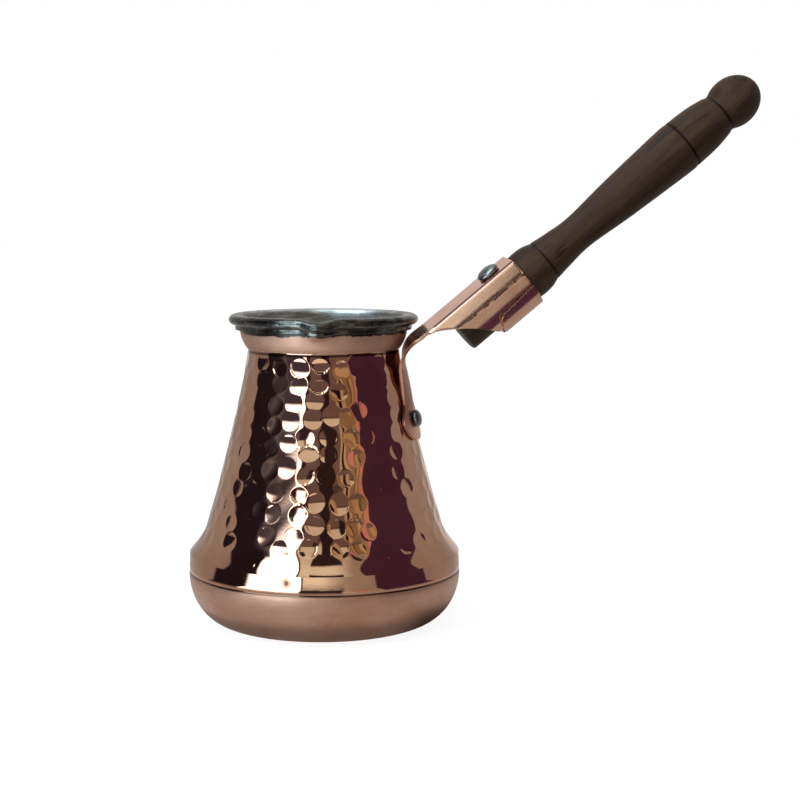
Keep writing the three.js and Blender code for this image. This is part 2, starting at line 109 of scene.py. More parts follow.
# Hammer marks. Those on the front are placed as on the real pot: height up the pot, azimuth
# from -Y towards +X, and how many degrees the mark faces up. The rest fill the wall round
# to the back.
MARK_LOWEST = 34.0
MARK_HIGHEST = 96.6
MARK_ROW_PITCH = 6.4
MARK_PITCH = 7.7
MARK_RADIUS = 3.5
MARK_DEPTH = 0.27
MARK_TILT = 1.0
MARK_SIZES = (0.92, 1.08)
MARK_DEPTHS = (0.8, 1.15)
MARK_SCATTER = 0.9
MARK_STRAY = 0.12
MARK_MARGIN = 1.1
MARK_SEED = 7
FRONT_MARKS = [
    (97.0, 1.0, -6), (90.0, -0.3, -7), (84.1, -2.7, 0), (77.8, -4.0, 0), (71.7, -8.0, 0),
    (65.3, -5.3, 5), (59.3, -7.3, -2), (52.8, -9.4, -2), (45.4, -10.0, 0), (38.1, -11.8, 0),
    (94.5, 17.3, 0), (87.5, 13.5, 0), (78.9, 8.3, 0), (72.0, 5.3, -1), (65.8, 6.3, 0),
    (59.0, 4.5, 0), (49.7, -0.6, 0), (42.1, -1.7, 0), (34.6, -3.7, 0), (80.1, 26.0, 0),
    (70.9, 19.9, 0), (64.8, 21.3, 0), (58.2, 15.4, 0), (49.2, 10.3, 0), (41.2, 9.2, 0),
    (34.5, 10.1, 0), (48.9, 20.2, 0), (40.9, 18.2, 0), (33.6, 18.9, 0), (95.9, -13.4, -4),
    (89.5, -14.9, -1.5), (83.1, -17.2, 0), (77.0, -18.4, 0), (69.2, -18.4, 0), (61.2, -18.6, 0),
    (95.5, -28.8, -4), (89.6, -28.5, 0), (82.0, -29.6, 0), (75.3, -28.8, 0), (68.3, -29.4, 0),
    (60.2, -29.0, 0), (53.0, -23.3, 0), (45.3, -22.6, 0), (37.9, -24.3, 0),
]
# How near a filling mark may come to a placed one, in row pitches
MARK_SPACING = 0.8
# Small dents on the plain shoulder and just above it: height, azimuth, radius, depth.
SMALL_DENTS = [(23.7, -12.0, 2.0, 0.04), (30.5, 33.0, 1.2, 0.06), (28.6, -27.0, 1.0, 0.05)]

# Bracket
SHEET = 1.2
FOOT_AZIMUTH = -14.0
FOOT_WIDTH = 18.0
FOOT_TIP_DROP = 7.4
FOOT_TIP_BLUNT = 0.02
FOOT_EASE = 0.12
FOOT_STEPS = 34
RIVET_DROP = 25.2
FOOT_GRIP = 6.5
STRAP_WIDTH = 11.0
STRAP_LEAN = 8.7
BEND_IN = 8.0
BEND_OUT = 7.0
RISE_STEPS = 12
BEND_STEPS = 26
RUN_STEPS = 5
WIDEN_FROM = 0.55
RIM_CLEARANCE = 3.1
FERRULE_ROLL = 7.0
FERRULE_FLAT = 12.6
CREASE_RADIUS = 0.9
FOLD_LEAN = 63.0
FOLD_LENGTH = 5.6
FOLD_SOFTNESS = 0.7
FOLD_MEET = 84.0
WING_LENGTH = 37.4
WING_START_REACH = 3.8
FERRULE_REACH = WING_LENGTH + WING_START_REACH
WING_BOW = 3.0
WING_START_DROP = 0.5
WRAP_LENGTH = 17.0
NEAR_WRAP = 150.0
FAR_WRAP = 268.0
LAP_FROM = 160.0
LAP_TO = 208.0
FLAP_LENGTH = 16.9
FLAP_RISE = 1.1
FLAP_SLOPE = 1.2
FLAP_CORNER = 3.4
SHEET_EDGE = 0.25
EDGE_SNAP = 0.4
FLAT_COLUMNS = (0, 1.3, 2.6, 3.9)
CREASE_STEP = 0.3
FLANK_STEP = 0.8
CREASE_COLUMNS = 8
WRAP_STEPS = 70
WIDEN_ROWS = 8
WING_ROWS = 64
CORNER_ROWS = 10
CORNER_CROWDING = 1.6
FLAP_STEP = 0.01
FLAP_ROWS = 18
MERGE_WITHIN = 0.02
EDGE_ANGLE = 50
EDGE_SEGMENTS = 3
FOLD_STEPS = 6
CREASE_TURN_STEPS = 8
WING_EDGE_STEPS = 40
FLAP_EDGE_STEPS = 10
STRAIGHT = 1e-6

# Handle
HANDLE_YAW = 9.4
HANDLE_ELEVATION = 39.4
HANDLE_OFFSET = 10.9
TENON_RADIUS = 8.1
TENON_LENGTH = 30.0
TENON_CHAMFER = 0.8
COLLAR_RADIUS = 9.35
COLLAR_LENGTH = 10.0
COLLAR_ROUND = 0.3
GROOVE_RADIUS = 7.9
GROOVE_WIDTH = 1.2
WAIST_RADIUS = 6.55
WAIST_PLACE = 27.0
WAIST_HOLLOW = 1.5
GRIP_HOLLOW = 3.5
GRIP_RADIUS = 9.55
GRIP_PLACE = 70.5
RING_PLACE = 75.8
RING_DEPTH = 0.35
RING_WIDTH = 1.0
HANDLE_NECK_RADIUS = 7.4
HANDLE_NECK_PLACE = 93.7
HANDLE_NECK_FILLET = 2.4
KNOB_RADIUS = 9.12
KNOB_PLACE = 100.6
HANDLE_LENGTH = 111.22
HANDLE_SIDES = 96
COLLAR_STEPS = 8
SHAFT_STEPS = 12
RING_STEPS = 8
NECK_STEPS = 10
KNOB_STEPS = 28

# Rivet and pin
RIVET_HEAD_RADIUS = 3.15
RIVET_HEAD_RISE = 2.3
RIVET_SHANK_RADIUS = 1.5
RIVET_TAIL_RADIUS = 2.6
RIVET_TAIL_RISE = 1.2
PIN_HEAD_RADIUS = 4.2
PIN_HEAD_RISE = 2.3
PIN_SHANK_RADIUS = 1.4
PIN_LENGTH = 12.0
PIN_TIP = 3.0
PIN_PLACE = 8.8
HEAD_SEAT_SHARE = 0.96
HEAD_EDGE_SHARE = 0.25
HEAD_STEPS = 16
TAIL_STEPS = 8
PIN_SIDES = 48

# Camera: metres and degrees, lens and sensor in millimetres
CAMERA_PLACE = (0.0362, -0.6089, 0.1505)
CAMERA_TILT = 83.5
CAMERA_TURN = 0.797
CAMERA_LENS = 75.6
CAMERA_SENSOR = 36
CAMERA_NEAREST = 0.01


def bezier(points, steps):
    """Points along a Bezier curve of any order."""
    found = []
    for i in range(steps + 1):
        level = [Vector(p) for p in points]
        while len(level) > 1:
            level = [a.lerp(b, i / steps) for a, b in zip(level, level[1:])]
        found.append(level[0])
    return found


def arc(centre, radii, start, end, steps):
    """Points along an ellipse's arc, angles in degrees."""
    angles = [radians(start + (end - start) * i / steps) for i in range(steps + 1)]
    return [
        Vector((centre[0] + radii[0] * cos(a), centre[1] + radii[1] * sin(a)))
        for a in angles
    ]


def spline(points, steps):
    """A smooth Catmull-Rom line through the points, with steps on each span."""
    ends = [points[0]] + list(points) + [points[-1]]
    ends = [Vector(p) for p in ends]
    found = []
    for a, b, c, d in zip(ends, ends[1:], ends[2:], ends[3:]):
        for i in range(steps):
            t = i / steps
            bow = (2 * a - 5 * b + 4 * c - d) * t * t
            found.append(0.5 * (2 * b + (c - a) * t + bow + (3 * b - a - 3 * c + d) * t * t * t))
    found.append(Vector(points[-1]))
    return found


def lengths(line):
    """Distance along a line at each of its points."""
    steps = [0.0] + [(b - a).length for a, b in zip(line, line[1:])]
    return np.cumsum(steps)


def resample(line, step):
    """The same line with even steps."""
    along = lengths(line)
    count = max(2, round(along[-1] / step) + 1)
    wanted = np.linspace(0, along[-1], count)
    columns = [np.interp(wanted, along, [p[k] for p in line]) for k in range(len(line[0]))]
    return [Vector(values) for values in zip(*columns)]


def normals(line):
    """Unit normals to the right of a flat line."""
    found = []
    for i in range(len(line)):
        along = line[min(i + 1, len(line) - 1)] - line[max(i - 1, 0)]
        along.normalize()
        found.append(Vector((along.y, -along.x)))
    return found


def offset(line, distance):
    """The line moved sideways, with its corners kept sharp."""
    sides = [Vector((b.y - a.y, a.x - b.x)).normalized() for a, b in zip(line, line[1:])]
    before = [sides[0]] + sides
    after = sides + [sides[-1]]
    return [p + (m + n) * distance / (1 + m.dot(n)) for p, m, n in zip(line, before, after)]


def smoothstep(low, high, value):
    """0 below low, 1 above high, and a soft rise between."""
    t = np.clip((value - low) / (high - low), 0, 1)
    return t * t * (3 - 2 * t)


def add_object(name, data):
    """A new object in the scene."""
    item = bpy.data.objects.new(name, data)
    bpy.context.scene.collection.objects.link(item)
    return item


def make_mesh(name, points, faces):
    """A mesh object from points in millimetres."""
    mesh = bpy.data.meshes.new(name)
    mesh.from_pydata([tuple(c * MM for c in p) for p in points], [], faces)
    mesh.validate()
    mesh.shade_smooth()
    return add_object(name, mesh)


def grid_faces(rows, width, first=0, closed=False):
    """Faces of a grid of points, whose rows follow each other from a first point on."""
    faces = []
    for i in range(rows - 1):
        low = first + i * width
        for j in range(width if closed else width - 1):
            k = (j + 1) % width
            faces.append((low + j, low + k, low + width + k, low + width + j))
    return faces


def round_faces(rings, sides):
    """Faces of a closed round body: one pole, its rings, and the other pole."""
    last = 1 + rings * sides
    top = last - sides
    pairs = [(j, (j + 1) % sides) for j in range(sides)]
    start = [(0, 1 + k, 1 + j) for j, k in pairs]
    return start + grid_faces(rings, sides, 1, True) + [(top + j, top + k, last) for j, k in pairs]


def bake_modifiers(piece):
    """Replaces the piece's mesh by its final one, with no modifier left."""
    graph = bpy.context.evaluated_depsgraph_get()
    final = bpy.data.meshes.new_from_object(piece.evaluated_get(graph))
    piece.modifiers.clear()
    piece.data = final
    final.shade_smooth()
    return piece


def lathe(name, profile, sides):
    """Revolves (radius, height) points round Z. The profile starts and ends on the axis."""
    points = [(0, 0, profile[0][1])]
    rings = profile[1:-1]
    for radius, height in rings:
        for j in range(sides):
            angle = 2 * pi * j / sides
            points.append((radius * cos(angle), radius * sin(angle), height))
    points.append((0, 0, profile[-1][1]))
    return make_mesh(name, points, round_faces(len(rings), sides))


# Pot body


def body_line():
    """The middle of the sheet from the centre of the base to the neck crease."""
    half = POT_WALL / 2
    round_out = BELLY_RADIUS - BASE_RADIUS - half
    corner = arc((BASE_RADIUS, BELT_HEIGHT), (round_out, BELT_HEIGHT - half), -90, 0, CORNER_STEPS)
    meet = Vector((SHOULDER_RADIUS - half, SHOULDER_HEIGHT))
    up = Vector((-tan(radians(CONE_LEAN)), 1))
    belt = Vector((BELLY_RADIUS - half, BELT_HEIGHT))
    belt_up = Vector((-tan(radians(BELT_LEAN)), 1))
    rise = CREASE_HEIGHT - BELT_HEIGHT
    strip = [belt + belt_up * rise * i / STRIP_STEPS for i in range(1, STRIP_STEPS + 1)]
    crease_up = Vector((-sin(radians(CREASE_LEAN)), cos(radians(CREASE_LEAN))))
    neck = Vector((NECK_RADIUS - half, NECK_HEIGHT))
    bulge = strip[-1] + crease_up * SHOULDER_BULGE
    shoulder = bezier([strip[-1], bulge, meet - up * SHOULDER_FOOT, meet], SHOULDER_STEPS)
    below_neck = neck - Vector((0, NECK_STRAIGHTNESS))
    cone = bezier([meet, meet + up * CONE_STRAIGHTNESS, below_neck, neck], CONE_STEPS)
    return [Vector((0, half))] + corner, strip + shoulder[1:] + cone[1:]


def rim_line():
    """The flared collar, and the bead with the hem tucked down outside the flare."""
    half = POT_WALL / 2
    curl = BEAD_RADIUS - half
    rise = BEAD_HALF_HEIGHT - half
    centre = Vector((RIM_RADIUS - BEAD_RADIUS, RIM_HEIGHT - BEAD_HALF_HEIGHT))
    throat = Vector((centre.x - curl, centre.y))
    neck = Vector((NECK_RADIUS - half, NECK_HEIGHT))
    reach = (centre.y - NECK_HEIGHT) * FLARE_EASE
    angle = radians(FLARE_ANGLE)
    leave = neck + Vector((sin(angle), cos(angle))) * reach
    flare = bezier([neck, leave, throat - Vector((0, reach)), throat], FLARE_STEPS)
    bead = arc(centre, (curl, rise), 180, 180 - BEAD_SWEEP, BEAD_STEPS)
    hem_radius = throat.x + POT_WALL + FIT_GAP
    hem_top = centre.y - rise - half
    levels = (hem_top + half, hem_top, hem_top - HEM_LENGTH)
    hem = bezier([bead[-1]] + [(hem_radius, level) for level in levels], HEM_STEPS)
    return flare[1:], bead[1:] + hem[1:]


BASE_LINE, WALL_LINE = body_line()
FLARE_LINE, BEAD_LINE = rim_line()
OUTER_WALL = offset(BASE_LINE + WALL_LINE, POT_WALL / 2)


def wall_at(height):
    """Radius of the outer wall at a height, and how far it leans in, in radians."""
    for low, high in zip(OUTER_WALL[1:], OUTER_WALL[2:]):
        if height <= high.y:
            share = (height - low.y) / (high.y - low.y)
            return low.x + (high.x - low.x) * share, atan2(low.x - high.x, high.y - low.y)
    return NECK_RADIUS, 0.0


def mark_places(line, along):
    """Where the hammer fell: distance along the wall's line, and angle round the pot."""
    draw = random.Random(MARK_SEED)
    radius = [p.x for p in line]
    heights = [p.y for p in line]
    front = [
        (float(np.interp(height, heights, along)), radians(azimuth - 90), radians(tilt))
        for height, azimuth, tilt in FRONT_MARKS
    ]
    places = list(front)
    first, last = np.interp([MARK_LOWEST, MARK_HIGHEST], heights, along)
    rows = round((last - first) / MARK_ROW_PITCH)
    for row in range(rows + 1):
        base = first + (last - first) * row / rows
        reach = float(np.interp(base, along, radius))
        count = round(2 * pi * reach / MARK_PITCH)
        phase = draw.uniform(0, 2 * pi / count)
        for k in range(count):
            at = base + draw.uniform(-MARK_SCATTER, MARK_SCATTER)
            angle = phase + (k + draw.uniform(-MARK_STRAY, MARK_STRAY)) * 2 * pi / count
            gaps = [
                hypot(remainder(angle - spot, 2 * pi) * reach, at - height)
                for height, spot, _ in front
            ]
            if min(gaps) > MARK_SPACING * MARK_ROW_PITCH:
                places.append((at, angle, 0.0))
    return places


def angles_from(angle):
    """How far each side of the pot is from an angle, between -pi and pi."""
    return (POT_ANGLES - angle + pi) % (2 * pi) - pi


def hammer_marks(line):
    """Depth of the hammer marks on a grid: rows follow the line, columns go round."""
    draw = random.Random(MARK_SEED)
    along = lengths(line)
    radius = np.array([p.x for p in line])
    depth = np.zeros((len(line), POT_SIDES))
    for at, angle, tilt in mark_places(line, along):
        size = MARK_RADIUS * draw.uniform(*MARK_SIZES)
        deep = MARK_DEPTH * draw.uniform(*MARK_DEPTHS)
        slope = tilt + radians(draw.gauss(0, MARK_TILT))
        twist = radians(draw.gauss(0, MARK_TILT))
        near = np.nonzero(abs(along - at) < size)[0]
        off = angles_from(angle)
        sides = np.nonzero(abs(off) * radius[near].max() < size * MARK_MARGIN)[0]
        grid = np.ix_(near, sides)
        across = off[sides][None, :] * radius[near][:, None]
        above = (along[near] - at)[:, None]
        share = (across**2 + above**2) / size**2
        dent = deep * (1 - share) + (above * slope + across * twist) * (share < 1)
        depth[grid] = np.maximum(depth[grid], dent)
    heights = np.array([p.y for p in line])[:, None]
    for height, azimuth, size, deep in SMALL_DENTS:
        across = angles_from(radians(azimuth - 90))[None, :] * radius[:, None]
        share = (across**2 + (heights - height) ** 2) / size**2
        depth += deep * np.clip(1 - share, 0, 1) ** 2
    return depth


def ripple(rows, strength, seed, pitch_rows, pitch_sides):
    """Slow random waves over a grid, as beaten sheet has."""
    waves = np.random.default_rng(seed)
    i = np.arange(rows)[:, None]
    j = np.arange(POT_SIDES)[None, :]
    total = np.zeros((rows, POT_SIDES))
    for _ in range(WAVE_COUNT):
        turns = max(1, round(POT_SIDES / pitch_sides * waves.uniform(*WAVE_PITCHES)))
        climb = waves.uniform(-1, 1) * 2 * pi / pitch_rows
        total += np.sin(2 * pi * turns * j / POT_SIDES + climb * i + waves.uniform(*WAVE_PHASES))
    return total * strength / WAVE_COUNT


def press_spout(points):
    """Presses the spout into the rim: outwards and a little down."""
    across = np.abs(points[..., 0]) / (SPOUT_WIDTH / 2)
    high = smoothstep(RIM_HEIGHT - SPOUT_DEPTH, RIM_HEIGHT - 2 * BEAD_HALF_HEIGHT, points[..., 2])
    front = (points[..., 1] < 0) & (across < 1)
    share = np.where(front, np.cos(across * pi / 2) ** 2, 0) * high
    points[..., 1] -= SPOUT_REACH * share
    points[..., 2] -= SPOUT_DIP * share
    return points


def wall_relief(wall):
    """What stands proud of the plain wall: marks, ripples, and the belt line's groove and lip."""
    level = np.array([p.y for p in wall])[:, None]
    fade = smoothstep(CREASE_HEIGHT, CREASE_HEIGHT + WALL_WAVES_FADE, level)
    relief = ripple(len(wall), *WALL_WAVES) * fade - hammer_marks(wall)
    beside = np.abs(level - BELT_EDGE) / (BELT_GROOVE_WIDTH / 2)
    relief -= BELT_GROOVE * np.clip(1 - beside, 0, 1)
    lip = np.clip(1 - (level - BELT_EDGE) / BELT_LIP_WIDTH, 0, 1) * (level > BELT_EDGE)
    return relief - BELT_LIP * lip**BELT_LIP_CURVE


def pot_shell():
    """One closed shell. Material 0 is the copper outside, material 1 the tinned rim and inside."""
    base = resample(offset(BASE_LINE, POT_WALL / 2), BASE_STEP)
    outside = offset(WALL_LINE, POT_WALL / 2)
    crease = outside[STRIP_STEPS - 1]
    strip = resample(outside[:STRIP_STEPS], WALL_STEP / 2)
    cone = resample(outside[STRIP_STEPS - 1 :], WALL_STEP)
    # Rows close to the crease keep the turn as crisp as on the real pot.
    below, above = CREASE_ROWS
    turned = [strip[-2].lerp(crease, below), crease, crease.lerp(cone[1], above)]
    wall = strip[:-1] + turned + cone[1:]
    flare = offset(FLARE_LINE, POT_WALL / 2)
    bead = offset(BEAD_LINE, POT_WALL / 2)
    line = [Vector((0, 0))] + base[1:] + wall + flare + bead
    middle = BASE_LINE + resample(WALL_LINE, INNER_STEP) + FLARE_LINE + BEAD_LINE
    inner = offset(middle, -POT_WALL / 2)[::-1]
    wall_from = len(base)
    flare_from = wall_from + len(wall)
    bead_from = flare_from + len(flare)

    profile = line + inner
    facing = normals(line) + [-n for n in normals(inner[::-1])][::-1]
    radius = np.array([p.x for p in profile])[:, None]
    height = np.array([p.y for p in profile])[:, None]
    out = np.array([n.x for n in facing])[:, None]
    up = np.array([n.y for n in facing])[:, None]
    push = np.zeros((len(profile), POT_SIDES))
    push[wall_from:flare_from] = wall_relief(wall)
    rim = ripple(len(bead), *RIM_WAVES) + ripple(len(bead), *RIM_TREMOR)
    push[bead_from : len(line)] = rim

    ring = radius + out * push
    right, back = ring * np.cos(POT_ANGLES), ring * np.sin(POT_ANGLES)
    points = press_spout(np.stack([right, back, height + up * push], axis=-1))
    rings = points[1:-1].reshape(-1, 3).tolist()
    faces = round_faces(len(profile) - 2, POT_SIDES)
    shell = make_mesh("pot_shell", [(0, 0, 0)] + rings + [(0, 0, POT_WALL)], faces)
    tin = [0] + [int(i >= bead_from - 1) for i in range(1, len(profile) - 2)] + [1]
    shell.data.polygons.foreach_set("material_index", np.repeat(tin, POT_SIDES).tolist())
    return shell


# Frames of the rivet and the handle, as in the solids


def turn(axis, angle):
    """A turn about an axis, in degrees."""
    return Matrix.Rotation(radians(angle), 4, axis)


RIVET_HEIGHT = NECK_HEIGHT - RIVET_DROP
RIVET_WALL, RIVET_LEAN = wall_at(RIVET_HEIGHT)
GRIP_END = RIVET_HEIGHT + FOOT_GRIP
RIVET_FRAME = (
    turn("Z", FOOT_AZIMUTH)
    @ Matrix.Translation((RIVET_WALL, 0, RIVET_HEIGHT))
    @ Matrix.Rotation(pi / 2 - RIVET_LEAN, 4, "Y")
)
BEAD_CENTRE = RIM_RADIUS - BEAD_RADIUS
FERRULE_TOP = TENON_RADIUS + FIT_GAP + SHEET
RIM_REACH = sqrt(BEAD_CENTRE**2 - HANDLE_OFFSET**2)
RIM_POINT = (RIM_REACH, -HANDLE_OFFSET, RIM_HEIGHT - BEAD_HALF_HEIGHT)
HANDLE_PLANE = turn("Z", HANDLE_YAW) @ Matrix.Translation(RIM_POINT) @ turn("Y", -HANDLE_ELEVATION)
HANDLE_FRAME = (
    HANDLE_PLANE
    @ Matrix.Translation((FERRULE_REACH, 0, -(BEAD_RADIUS + RIM_CLEARANCE + FERRULE_TOP)))
    @ turn("X", FERRULE_ROLL)
)


def keep_place(piece, values):
    """Stores each vertex's place in the piece's own frame, for the finish."""
    stored = piece.data.attributes.new("own_place", "FLOAT_VECTOR", "POINT")
    stored.data.foreach_set("vector", values)


def placed(matrix, piece):
    """Moves a piece to its frame. Its finish keeps the places that it had before."""
    keep_place(piece, [c for vertex in piece.data.vertices for c in vertex.co])
    matrix = matrix.copy()
    matrix.translation *= MM
    piece.data.transform(matrix)
    return piece


# Bracket: one sheet as rows of points from the foot's tip to the ferrule's mouth. Each column
# is a distance from the sheet's middle line, near side first.


def foot_station(height):
    """Middle of the foot's sheet at a height, with the directions there."""
    radius, lean = wall_at(height)
    spin = turn("Z", FOOT_AZIMUTH)
    out = spin @ Vector((cos(lean), 0, sin(lean)))
    across = spin @ Vector((0, 1, 0))
    centre = spin @ Vector((radius, 0, height)) + out * (FIT_GAP + SHEET / 2)
    return centre, across, out, cos(lean) / radius


def wrap_line(end_angle, layers):
    """Half of the ferrule's section, from the middle of its flat top round to an end angle.

    The half that laps over the other ends a number of layers further out.
    """
    round_radius = TENON_RADIUS + FIT_GAP + SHEET / 2
    top = FERRULE_TOP - SHEET / 2
    corner = Vector((FERRULE_FLAT / 2, top))
    touch = atan2(corner.x, corner.y) + acos(round_radius / corner.length)
    if layers == 0:
        touch = radians(FOLD_MEET)
    flank = Vector((sin(touch), cos(touch))) * round_radius
    down = (flank - corner).normalized()
    fold = []
    if layers == 0:
        # The near wing is folded a second time, softly, below its bright upper face.
        lean = radians(FOLD_LEAN)
        down = Vector((cos(lean), -sin(lean)))
        bend = corner + down * FOLD_LENGTH
        after = (flank - bend).normalized()
        fold = bezier([bend - down * FOLD_SOFTNESS, bend, bend + after * FOLD_SOFTNESS], FOLD_STEPS)
    line = [Vector((0, top))]
    crease = [(corner.x - CREASE_RADIUS, top), corner, corner + down * CREASE_RADIUS]
    line += bezier(crease, CREASE_TURN_STEPS)
    line += fold
    for i in range(WRAP_STEPS + 1):
        angle = touch + (radians(end_angle) - touch) * i / WRAP_STEPS
        lapped = float(smoothstep(LAP_FROM, LAP_TO, degrees(angle)))
        reach = round_radius + layers * (SHEET + FIT_GAP) * lapped
        line.append(Vector((sin(angle), cos(angle))) * reach)
    return line


def level_at(curve, x):
    """Height of a line of points where it passes x."""
    return float(np.interp(x, *zip(*curve)))


def crossing(line, level, rising):
    """Distance along a section line where it passes a level, going down or coming up."""
    along = lengths(line)
    lowest = min(range(len(line)), key=lambda i: line[i].y)
    picks = range(lowest, len(line)) if rising else range(lowest, 0, -1)
    return level_at([(line[i].y, along[i]) for i in picks], level)


class Section:
    """One half of the ferrule, addressed by the distance along its section."""

    def __init__(self, side, end_angle, layers):
        self.side = side
        self.line = wrap_line(end_angle, layers)
        self.along = lengths(self.line)
        self.full = float(self.along[-1])

    def place(self, x, s):
        """A point at x along the handle's axis and s along the section."""
        y, z = (float(np.interp(s, self.along, [p[k] for p in self.line])) for k in (0, 1))
        return HANDLE_FRAME @ Vector((x, self.side * y, z))


def underneath(line):
    """Distance along the far half to the place straight below the handle's axis."""
    along = lengths(line)
    return level_at([(-p.x, s) for p, s in zip(line, along) if p.y < 0], 0)


def wing_edge(x):
    """Height of the wings' slanting cut edge at a place along the axis."""
    low = -(FERRULE_TOP + SHEET + FIT_GAP)
    high = FERRULE_TOP - SHEET - WING_START_DROP
    middle = ((-WING_LENGTH - WRAP_LENGTH) / 2 + WING_BOW, (high + low) / 2 + WING_BOW)
    curve = bezier([(-WING_LENGTH, high), middle, (-WRAP_LENGTH, low)], WING_EDGE_STEPS)
    return level_at(curve, x)


def flap_edge(x):
    """Height of the flap's free edge at a place along the axis."""
    front = -FLAP_LENGTH
    level = -FLAP_RISE - FLAP_SLOPE
    ends = (front, level - FLAP_CORNER), (front + FLAP_CORNER, level)
    curve = bezier([ends[0], (front, level), ends[1]], FLAP_EDGE_STEPS)
    return level_at(curve + [Vector((0, -FLAP_RISE))], x)


def sheet_row(columns, centre, across, out, half, bend):
    """One row across the foot or the strap, bent as the wall is."""
    row = []
    for q in columns:
        q = max(-half, min(half, q))
        side, sag = q, 0
        if bend > STRAIGHT:
            side, sag = sin(bend * q) / bend, (1 - cos(bend * q)) / bend
        row.append(centre + across * side - out * sag)
    return row


def foot_rows(columns):
    """Rows of the foot on the wall, from its round tip to the end of its grip."""
    rows = []
    tip = RIVET_HEIGHT - FOOT_TIP_DROP
    for i in range(FOOT_STEPS + 1):
        share = i / FOOT_STEPS
        height = tip + (GRIP_END - tip) * share * (FOOT_EASE + (1 - FOOT_EASE) * share)
        below = max(RIVET_HEIGHT - height, 0) / (FOOT_TIP_DROP + FOOT_TIP_BLUNT)
        rounded = FOOT_WIDTH / 2 * sqrt(1 - below**2)
        necked = float(smoothstep(RIVET_HEIGHT, GRIP_END, height))
        half = rounded + (STRAP_WIDTH / 2 - rounded) * necked
        centre, across, out, bend = foot_station(height)
        rows.append(sheet_row(columns, centre, across, out, half, bend))
    return rows


def strap_rows(columns):
    """Rows of the strap, which peels off the wall, bends out under the rim and widens."""
    start, start_across, _, start_bend = foot_station(GRIP_END)
    lean = radians(STRAP_LEAN)
    rise = turn("Z", FOOT_AZIMUTH) @ Vector((-sin(lean), 0, cos(lean)))
    to_plane = HANDLE_PLANE.inverted()
    source = to_plane @ start
    heading = to_plane.to_3x3() @ rise
    line_height = -(BEAD_RADIUS + RIM_CLEARANCE + SHEET / 2)
    run = (line_height - source.z) / heading.z
    corner = HANDLE_PLANE @ Vector((source.x + heading.x * run, 0, line_height))
    straight = (HANDLE_PLANE.to_3x3() @ Vector((1, 0, 0))).normalized()
    incoming = (corner - start).normalized()
    rise_length = (corner - start).length - BEND_IN
    ferrule_start = HANDLE_FRAME @ Vector((-FERRULE_REACH, 0, FERRULE_TOP - SHEET / 2))
    bend_start = corner - incoming * BEND_IN
    bend_end = corner + straight * BEND_OUT
    centres = [start + incoming * rise_length * i / RISE_STEPS for i in range(1, RISE_STEPS)]
    centres += bezier([bend_start, corner, bend_end], BEND_STEPS)
    centres += [bend_end.lerp(ferrule_start, i / RUN_STEPS) for i in range(1, RUN_STEPS)]
    far_across = (HANDLE_FRAME.to_3x3() @ Vector((0, 1, 0))).normalized()
    rows = []
    for i, centre in enumerate(centres):
        share = (i + 1) / len(centres)
        turned = float(smoothstep(0, 1, share))
        after = centres[i + 1] if i + 1 < len(centres) else centre + straight
        before = centres[i - 1] if i > 0 else start
        ahead = (after - before).normalized()
        across = start_across.lerp(far_across, turned)
        across = (across - ahead * across.dot(ahead)).normalized()
        widen = float(smoothstep(WIDEN_FROM, 1, share))
        half = STRAP_WIDTH / 2 + (FERRULE_FLAT - CREASE_RADIUS - STRAP_WIDTH) / 2 * widen
        out = across.cross(ahead).normalized()
        rows.append(sheet_row(columns, centre, across, out, half, start_bend * (1 - turned)))
    return rows


